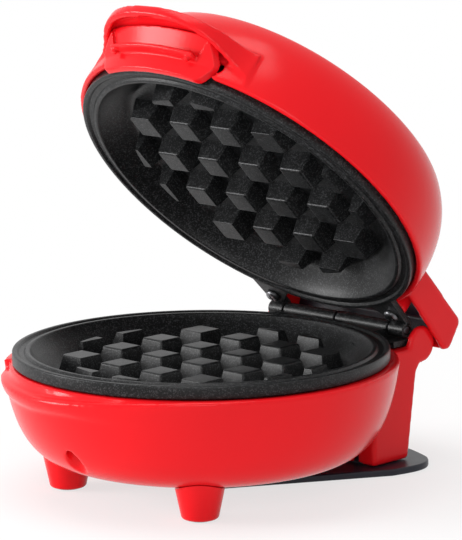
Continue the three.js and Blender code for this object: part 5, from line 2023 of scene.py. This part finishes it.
    def holes(self) -> list[Piece]:
        """Models the holes for the screws, the lens and the leads.

        Returns:
            The solids.
        """
        foot, floor = self.arm_boss_foot, self.ledge_floor
        arms = [Bench.upright("hole", place, foot - OVERRUN, foot + SCREW_BITE, SCREW_HOLE, Facets.SCREW)
                for place in self.arm_places()]
        liner = [Bench.upright("hole", place, floor - OVERRUN, floor + OVERRUN, SCREW_HOLE, Facets.SCREW)
                 for place in self.liner_places()]
        heads = [Bench.upright("sink", place, floor - OVERRUN, floor + self.sink_depth, SCREW_SINK,
                               Facets.SCREW) for place in self.liner_places()]
        lens = Bench.upright("lens hole", (0, -self.lens_y), self.crease_height, self.top_height + OVERRUN,
                             self.lens_hole, Facets.CAP)
        slot = Bench.block("lead slot", (-self.slot_half, self.ledge_inner, self.slot_low),
                           (self.slot_half, HINGE.y, self.slot_high))
        return [*arms, *liner, *heads, lens, slot]

    def hidden(self, point: Vector) -> bool:
        """Tells whether a point lies inside the dome, behind the plate.

        Args:
            point: The point, in millimetres.

        Returns:
            True where the casing is out of sight.
        """
        ceiling = self.top_height - self.wall * self.skin_share
        if not self.ledge_floor + self.overlap < point.z < ceiling:
            return False
        return math.hypot(point.x, point.y) < radius_on(self.inner, point.z, 0.0)

    def build(self) -> None:
        """Models the casing, lays it open and fixes it to the lid."""
        shell = self.dome("lid_casing", 0.0)
        Bench.combine(shell, [self.visor(), self.hood()], Boolean.JOIN)
        pockets = [Bench.combine(pocket, [self.dome("dome space", 0.0)], Boolean.CUT)
                   for pocket in (self.visor_pocket(), self.hood_pocket())]
        Bench.combine(shell, [self.dome("hollow", self.wall), *pockets], Boolean.CUT)
        Bench.combine(shell, self.inside(), Boolean.JOIN)
        Bench.combine(shell, [self.notch(), *self.holes()], Boolean.CUT)
        Bench.mould(shell, self.voxel, self.eases)
        Bench.thin_out(shell, self.hidden, self.hidden_share)
        Bench.shade(shell, angle=60.0, flat_faces=False)
        HINGE.lay_open(shell)
        seat(shell, Body.LID, RED, "lid_shell")


@dataclass
class HandleLiner:
    """The red inner piece behind the visor: its skirt, finger ledge, panel, frame strips and studs."""

    wall: float = 2.6
    skirt: Place = (68.9, 50.0)
    step: Place = (69.9, 55.3)
    knee: Place = (71.4, 57.2)
    top: Place = (76.0, 64.2)
    skirt_half: float = 22.6
    half: float = 27.0
    top_half: float = 28.4
    flare_height: float = 57.0
    flare_round: float = 2.0
    corner: float = 4.0
    visor_gap: float = 0.3
    recess_half: float = 18.9
    recess_top_half: float = 24.0
    recess_low: float = 55.4
    recess_depth: float = 1.3
    recess_corner: float = 0.8
    ledge_radius: float = 73.9
    ledge_thickness: float = 1.5
    ledge_root: float = 0.7
    ledge_overlap: float = 0.8
    stud: Place = (17.4, 72.0)
    stud_radius: float = 1.1
    stud_drop: float = 1.4
    stud_height: float = 0.9
    boss_low: float = 57.7
    boss_high: float = 62.1
    boss_radius: float = 2.6
    boss_cap: float = 0.5
    web_half: float = 0.9
    web_front: float = 69.6
    web_height: float = 1.5
    voxel: float = 0.34
    eases: int = 3

    def outline(self) -> Outline:
        """Draws the liner seen from the front.

        Returns:
            Points of X and Z.
        """
        low, high = self.skirt[1], self.top[1]
        return rounded([
            (-self.skirt_half, low, self.corner), (self.skirt_half, low, self.corner),
            (self.half, self.flare_height, self.flare_round), (self.top_half, high, 0.0),
            (-self.top_half, high, 0.0), (-self.half, self.flare_height, self.flare_round),
        ])

    def recess(self) -> Piece:
        """Models the space in front of the panel, between the skirt and the two side strips.

        Returns:
            The solid.
        """
        high = self.top[1] + OVERRUN
        slope = (self.recess_top_half - self.recess_half) / (self.top[1] - self.recess_low)
        spread = self.recess_top_half + slope * OVERRUN
        outline = rounded([(-self.recess_half, self.recess_low, self.recess_corner),
                           (self.recess_half, self.recess_low, self.recess_corner),
                           (spread, high, 0.0), (-spread, high, 0.0)])
        space = Bench.driven("recess", outline, -FAR, FAR)
        core = self.panel("core", -self.recess_depth, FAR / 4)
        return Bench.combine(space, [core], Boolean.CUT)

    def panel(self, name: str, proud: float, back: float) -> Piece:
        """Turns the liner's wall, between two distances from its front face.

        Args:
            name: Name of the new piece.
            proud: How far its front stands out from the liner's face.
            back: How far behind its front its rear lies.

        Returns:
            The solid.
        """
        rows = (self.skirt, self.step, self.knee, self.top)
        (first, low), (last, high) = rows[0], rows[-1]
        front = [(first + proud, low - OVERRUN), *[(radius + proud, height) for radius, height in rows]]
        slope = (last - self.knee[0]) / (high - self.knee[1])
        front.append((last + proud + slope * OVERRUN, high + OVERRUN))
        rear = [(radius - back, height) for radius, height in reversed(front)]
        return Bench.turned(name, [*front, *rear], Facets.LINER, closed=True)

    def ledge(self) -> Piece:
        """Models the curved finger ledge with its round nose.

        Returns:
            The solid.
        """
        thick = self.ledge_thickness
        root = self.step[0] - self.wall * self.ledge_root
        low = self.knee[1] - thick
        nose = arc((self.ledge_radius - thick / 2, low + thick / 2), thick / 2, -90, 90, steps=6)
        ring = Bench.turned("ledge", [(root, low), *nose, (root, low + thick)], Facets.LINER, closed=True)
        half = self.recess_half + self.ledge_overlap
        span = Bench.block("ledge span", (-half, -FAR, low - OVERRUN), (half, -self.step[0] / 2, FAR))
        return Bench.combine(ring, [span], Boolean.COMMON)

    def studs(self) -> list[Piece]:
        """Models the small studs near the ends of the ledge.

        Returns:
            The solids.
        """
        x, radius = self.stud
        y = -math.sqrt(radius ** 2 - x ** 2)
        low = self.knee[1] - self.ledge_thickness - self.stud_drop
        high = self.knee[1] + self.stud_height
        return [Bench.upright("stud", (hand * x, y), low, high, self.stud_radius, Facets.BOSS)
                for hand in HANDS]

    def bosses(self, places: list[Place]) -> list[Piece]:
        """Models the screw bosses behind the panel.

        Args:
            places: Where the liner's screws stand.

        Returns:
            The bored bosses, each with its web.
        """
        low, high = self.boss_low, self.boss_high
        made = []
        for x, y in places:
            boss = Bench.upright("boss", (x, y), low, high, self.boss_radius, Facets.BOSS)
            web = Bench.block("web", (x - self.web_half, -self.web_front, low),
                              (x + self.web_half, y, low + self.web_height))
            Bench.combine(boss, [web], Boolean.JOIN)
            hole = Bench.upright("hole", (x, y), low - OVERRUN, high - self.boss_cap, SCREW_HOLE,
                                 Facets.SCREW)
            made.append(Bench.combine(boss, [hole], Boolean.CUT))
        return made

    def build(self, casing: LidCasing) -> None:
        """Models the liner, lays it open and fixes it to the lid.

        Args:
            casing: The casing that it fits into.
        """
        panel = self.panel("handle_liner_moulding", 0.0, self.wall)
        Bench.combine(panel, [self.recess()], Boolean.CUT)
        face = Bench.driven("liner face", self.outline(), -FAR, FAR - casing.ledge_inner / 2)
        plan = casing.visor_plan(casing.strap + self.visor_gap, 0)
        within = Bench.raised("visor space", plan, self.skirt[1] - OVERRUN, 4 * OVERRUN)
        Bench.combine(panel, [face, within], Boolean.COMMON)
        Bench.combine(panel, [self.ledge(), *self.studs(), *self.bosses(casing.liner_places())], Boolean.JOIN)
        Bench.mould(panel, self.voxel, self.eases)
        Bench.shade(panel, angle=60.0, flat_faces=False)
        HINGE.lay_open(panel)
        seat(panel, Body.LID, RED, "handle_liner")


@dataclass
class HoodLining:
    """The black cover against the ceiling and the rear wall inside the hood."""

    thickness: float = 1.2
    front: float = 74.0
    low: float = 56.5
    gap: float = 0.3
    edge: float = 0.25

    def ceiling(self, casing: LidCasing, y: float) -> float:
        """Reads the height of the hood's ceiling, less the gap.

        Args:
            casing: The casing with the hood.
            y: Where to read it, along Y.

        Returns:
            The height.
        """
        share = (y - casing.hood_front) / (casing.hood_rear_top - casing.wall - casing.hood_front)
        return mix(casing.hood_top, casing.hood_rear_top_height, share) - casing.wall - self.gap

    def build(self, casing: LidCasing) -> None:
        """Models the lining, lays it open and fixes it to the lid.

        Args:
            casing: The casing with the hood.
        """
        rear = casing.hood_rear - casing.wall - self.gap
        rear_top = casing.hood_rear_top - casing.wall - self.gap
        front_ceiling, rear_ceiling = (self.ceiling(casing, y) for y in (self.front, rear_top))
        thick = self.thickness
        section = rounded([
            (rear, self.low, 0.0), (rear_top, rear_ceiling, casing.hood_corner),
            (self.front, front_ceiling, 0.0), (self.front, front_ceiling - thick, 0.0),
            (rear_top - thick, rear_ceiling - thick, casing.hood_corner / 2), (rear - thick, self.low, 0.0),
        ])
        lining = Bench.across("hood_lining", section, casing.hood_half - casing.wall - self.gap)
        Bench.fillet(lining, self.edge, segments=2, angle=50.0)
        Bench.shade(lining)
        HINGE.lay_open(lining)
        seat(lining, Body.LID, BLACK, "hood_cover")


@dataclass
class HingePin:
    """The steel pin of the hinge."""

    edge: float = 0.35

    def build(self) -> None:
        """Models the pin, with eased ends, and fixes it to the base."""
        half = HINGE.outer_edges()[1]
        start, end = [(x, HINGE.y, HINGE.height) for x in (-half, half)]
        pin = Bench.rod("hinge_rod", start, end, HINGE.pin, Facets.SHAFT)
        Bench.fillet(pin, self.edge, angle=60.0)
        Bench.shade(pin)
        seat(pin, Body.BASE, PIN_STEEL, "hinge_pin")


@dataclass
class SignalLens:
    """The domed amber lens in the lid's top."""

    low: float = 84.2
    flange_radius: float = 5.0
    flange: float = 1.4
    stem_radius: float = 3.4
    dome_foot: float = 88.9
    dome_centre: float = 84.35
    dome_radius: float = 5.65
    dome_start: float = 53.0

    def build(self, casing: LidCasing) -> None:
        """Models the lens, lays it open and fixes it to the lid.

        Args:
            casing: The casing that it sits in.
        """
        low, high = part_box("indicator_lens")
        LOG.info("lens between %s and %s", tuple(low), tuple(high))
        shoulder = self.low + self.flange
        dome = arc((0.0, self.dome_centre), self.dome_radius, self.dome_start, 90, steps=8)
        profile = [(0.0, self.low), (self.flange_radius, self.low), (self.flange_radius, shoulder),
                   (self.stem_radius, shoulder), (self.stem_radius, self.dome_foot), *dome]
        lens = Bench.turned("signal_lens", profile, Facets.CAP)
        lens.data.transform(Matrix.Translation(Vector((0, -casing.lens_y, 0)) * MM))
        Bench.shade(lens)
        HINGE.lay_open(lens)
        seat(lens, Body.LID, LENS, "indicator_lens")


@dataclass
class Screws:
    """Every screw of the frame: pan heads with a cross, and a thread of fine rings."""

    head_radius: float = 2.8
    head_height: float = 1.5
    crown_share: float = 0.62
    shoulder: Place = (0.86, 0.82)
    side_share: float = 0.45
    break_edge: float = 0.12
    shank: float = 1.5
    thread_step: float = 0.9
    thread_depth: float = 0.28
    tip: float = 0.4
    tip_share: float = 0.5
    cross: float = 1.9
    cross_share: float = 1.8
    cross_width: float = 0.7
    cross_depth: float = 0.8
    overlap: float = 1.0
    head_test: float = 0.6

    def screw(self, length: float) -> Piece:
        """Models a screw that points up from the origin, its head's underside at height 0.

        Args:
            length: Length under the head.

        Returns:
            The solid.
        """
        radius, high = self.head_radius, self.head_height
        root = self.shank - self.thread_depth
        head = [
            (0.0, -high), (radius * self.crown_share, -high),
            (radius * self.shoulder[0], -high * self.shoulder[1]), (radius, -high * self.side_share),
            (radius, -self.break_edge), (radius - self.break_edge, 0.0), (self.shank, 0.0),
        ]
        thread = []
        height = self.thread_step
        while height < length - self.thread_step:
            thread += [(root, height), (self.shank, height + self.thread_step / 2)]
            height += self.thread_step
        tip = [(root, length - self.tip), (self.shank * self.tip_share, length), (0.0, length)]
        screw = Bench.turned("screw", [*head, *thread, *tip], Facets.SCREW)
        span = self.cross * self.cross_share
        bars = [Bench.block("bar", (-wide / 2, -deep / 2, -high - self.overlap),
                            (wide / 2, deep / 2, -high + self.cross_depth))
                for wide, deep in ((span, self.cross_width), (self.cross_width, span))]
        return Bench.combine(screw, bars, Boolean.CUT)

    def node_points(self, node: str, body: Body) -> list[Vector]:
        """Reads a screw node's points, those of the lid as they are with the lid shut.

        Args:
            node: The node.
            body: The body that it rides on.

        Returns:
            The points, in millimetres.
        """
        points = [vertex.co / MM for vertex in frame["nodes"][node].data.vertices]
        if body is Body.LID:
            shut = Matrix.Rotation(math.radians(HINGE.open_degrees), 4, "X")
            pivot = Vector((0, HINGE.y, HINGE.height))
            points = [shut @ (point - pivot) + pivot for point in points]
        return points

    def place_screw(self, node: str, body: Body) -> None:
        """Sets one screw where its node is.

        Args:
            node: The node that it stands for.
            body: The body that it rides on.
        """
        points = self.node_points(node, body)
        low, high = min(p.z for p in points), max(p.z for p in points)
        x = (min(p.x for p in points) + max(p.x for p in points)) / 2
        y = (min(p.y for p in points) + max(p.y for p in points)) / 2
        wide_low = max(abs(p.x - x) for p in points if p.z < low + self.head_height / 2)
        head_down = wide_low > self.head_radius * self.head_test
        screw = self.screw(high - low - self.head_height)
        turn = Matrix.Identity(4) if head_down else Matrix.Rotation(math.pi, 4, "X")
        seat_height = low + self.head_height if head_down else high - self.head_height
        screw.data.transform(Matrix.Translation(Vector((x, y, seat_height)) * MM) @ turn)
        screw.name = f"fine_{node}"
        if body is Body.LID:
            HINGE.lay_open(screw)
        Bench.shade(screw)
        seat(screw, body, SCREW_STEEL, node)

    def build(self) -> None:
        """Models every screw and sets it in its place."""
        for node in sorted(frame["nodes"]):
            if "screw" in node:
                in_lid = frame["nodes"][node]["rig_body"] == Body.LID.value
                self.place_screw(node, Body.LID if in_lid else Body.BASE)


@dataclass
class KeptNodes:
    """Nodes of the frame whose shape stays, and the finish that each gets."""

    finishes: dict[str, Finish] = field(default_factory=lambda: {
        "lower_heating_element": ELEMENT_STEEL,
        "upper_heating_element": ELEMENT_STEEL,
        "lower_heat_shield": SHEET_METAL,
        "upper_heat_shield": SHEET_METAL,
        "thermostat": SHEET_METAL,
        "thermal_fuse": INSULATOR,
        "terminal_block": INSULATOR,
        "lead_left": SLEEVE,
        "lead_right": SLEEVE,
        "cord_gland": BLACK,
        "indicator_lamp": LAMP,
    })

    def build(self) -> None:
        """Gives each kept node its finish."""
        for name, finish in self.finishes.items():
            finish.dress(frame["nodes"][name])
            LOG.info("%s keeps its shape", name)


@dataclass(frozen=True)
class SoftLamp:
    """A soft rectangular lamp, with its place and size in metres and its power in watts."""

    name: str
    place: Point
    size: Place
    power: float
    aim_height: float = 0.08

    def hang(self) -> None:
        """Hangs the lamp so that it faces the object."""
        data = bpy.data.lights.new(self.name, "AREA")
        data.shape = "RECTANGLE"
        data.size, data.size_y = self.size
        data.energy = self.power
        lamp = bpy.data.objects.new(self.name, data)
        lamp.location = self.place
        aim = Vector((0, 0, self.aim_height)) - Vector(self.place)
        lamp.rotation_euler = aim.to_track_quat("-Z", "Y").to_euler()
        bpy.context.scene.collection.objects.link(lamp)


@dataclass
class Studio:
    """The camera at the photograph's viewing angle, the lamps and the white surroundings."""

    azimuth: float = 44.14
    elevation: float = 10.39
    roll: float = -0.50
    distance: float = 1113.68
    aim_right: float = 10.65
    aim_up: float = 75.56
    focal_pixels: float = 3157.79
    long_side: float = 540.0
    sensor: float = 36.0
    clip: Place = (0.05, 30.0)
    floor_size: float = 8.0
    floor_drop: float = 0.15
    floor_shade: float = 0.9
    shadow_reach: float = 110.0
    white_from: float = 330.0
    shadow_lift: float = 0.7
    world_light: float = 0.42
    world_shown: float = 1.0
    lamps: tuple[SoftLamp, ...] = (
        SoftLamp("key", (-0.85, -0.92, 0.28), (0.6, 0.5), 15.0),
        SoftLamp("top", (-0.1, -0.1, 1.25), (0.8, 0.8), 9.0),
        SoftLamp("fill", (0.9, -1.1, 0.45), (0.7, 0.8), 6.5),
    )

    def camera(self) -> None:
        """Places the camera as the photograph's was."""
        azimuth, elevation = math.radians(self.azimuth), math.radians(self.elevation)
        back = Vector((math.sin(azimuth) * math.cos(elevation), -math.cos(azimuth) * math.cos(elevation),
                       math.sin(elevation)))
        right = Vector((math.cos(azimuth), math.sin(azimuth), 0))
        up = back.cross(right)
        target = right * self.aim_right + up * self.aim_up
        roll = math.radians(self.roll)
        right, up = (right * math.cos(roll) + up * math.sin(roll),
                     up * math.cos(roll) - right * math.sin(roll))
        data = bpy.data.cameras.new("photo_camera")
        data.sensor_width = self.sensor
        data.sensor_fit = "AUTO"
        data.lens = self.focal_pixels / self.long_side * self.sensor
        data.clip_start, data.clip_end = self.clip
        camera = bpy.data.objects.new("photo_camera", data)
        place = Matrix((right, up, back)).transposed().to_4x4()
        place.translation = (target + back * self.distance) * MM
        camera.matrix_world = place
        bpy.context.scene.collection.objects.link(camera)
        bpy.context.scene.camera = camera

    def shown(self, nodes: Nodes) -> Socket:
        """Tells rays that show a surface from those that light others.

        Args:
            nodes: The nodes of the material or the world.

        Returns:
            1 for rays from the camera and for reflections and refractions, else 0.
        """
        rays = nodes.add("ShaderNodeLightPath")
        either = nodes.calculate("MAXIMUM", rays.outputs["Is Camera Ray"], rays.outputs["Is Glossy Ray"])
        return nodes.calculate("MAXIMUM", either, rays.outputs["Is Transmission Ray"])

    def white_share(self, nodes: Nodes) -> Socket:
        """Works out the share of plain white in the floor, which is all of it far from the object.

        Args:
            nodes: The nodes of the floor's material.

        Returns:
            The share.
        """
        distance = nodes.add("ShaderNodeVectorMath", operation="LENGTH")
        nodes.give(distance.inputs[0], nodes.add("ShaderNodeTexCoord").outputs["Object"])
        fade = nodes.add("ShaderNodeMapRange", Value=distance.outputs["Value"],
                         From_Min=self.shadow_reach * MM, From_Max=self.white_from * MM)
        share = nodes.add("ShaderNodeMapRange", Value=fade.outputs["Result"], To_Min=self.shadow_lift)
        return share.outputs["Result"]

    def floor_white(self) -> bpy.types.Material:
        """Makes the floor's finish, which shows white to the camera and in reflections.

        Returns:
            The material.
        """
        material = bpy.data.materials.new("studio_white")
        material.use_nodes = True
        material.node_tree.nodes.clear()
        nodes = Nodes(material.node_tree)
        shade = (self.floor_shade, self.floor_shade, self.floor_shade, 1.0)
        lit = nodes.add("ShaderNodeBsdfDiffuse", Color=shade).outputs[0]
        plain = nodes.add("ShaderNodeEmission", Strength=1.0).outputs[0]
        shadowed = nodes.mix_shaders(self.white_share(nodes), lit, plain)
        seen = nodes.mix_shaders(self.shown(nodes), lit, shadowed)
        nodes.add("ShaderNodeOutputMaterial", Surface=seen)
        return material

    def floor(self) -> None:
        """Lays a wide floor just under the object."""
        Bench.clear()
        bpy.ops.mesh.primitive_plane_add(size=self.floor_size, location=(0, 0, -self.floor_drop * MM))
        floor = bpy.context.active_object
        floor.name = "studio_floor"
        floor.data.materials.append(self.floor_white())

    def world(self) -> None:
        """Makes a white world for the camera and gloss, and a dimmer one for the light."""
        world = bpy.data.worlds.new("studio_world")
        bpy.context.scene.world = world
        world.use_nodes = True
        world.node_tree.nodes.clear()
        nodes = Nodes(world.node_tree)
        dim, bright = [nodes.add("ShaderNodeBackground", Color=(1, 1, 1, 1), Strength=strength).outputs[0]
                       for strength in (self.world_light, self.world_shown)]
        nodes.add("ShaderNodeOutputWorld", Surface=nodes.mix_shaders(self.shown(nodes), dim, bright))

    def build(self) -> None:
        """Sets up the whole studio."""
        bpy.context.scene.view_settings.view_transform = "Standard"
        self.camera()
        self.floor()
        self.world()
        for lamp in self.lamps:
            lamp.hang()


def main() -> None:
    """Builds the waffle maker from its base to its lid."""
    logging.basicConfig(level=logging.INFO, format="%(name)s: %(message)s")
    Studio().build()
    casing = BaseCasing()
    casing.build()
    FrontFeet().build(casing)
    HeelPlate().build()
    LowerPlate(face=49.9, way=-1).build(casing)
    UpperPlate(face=50.3, way=1).build()
    lid = LidCasing()
    lid.build()
    HandleLiner().build(lid)
    HoodLining().build(lid)
    HingePin().build()
    SignalLens().build(lid)
    Screws().build()
    KeptNodes().build()


if __name__ == "__main__":
    main()
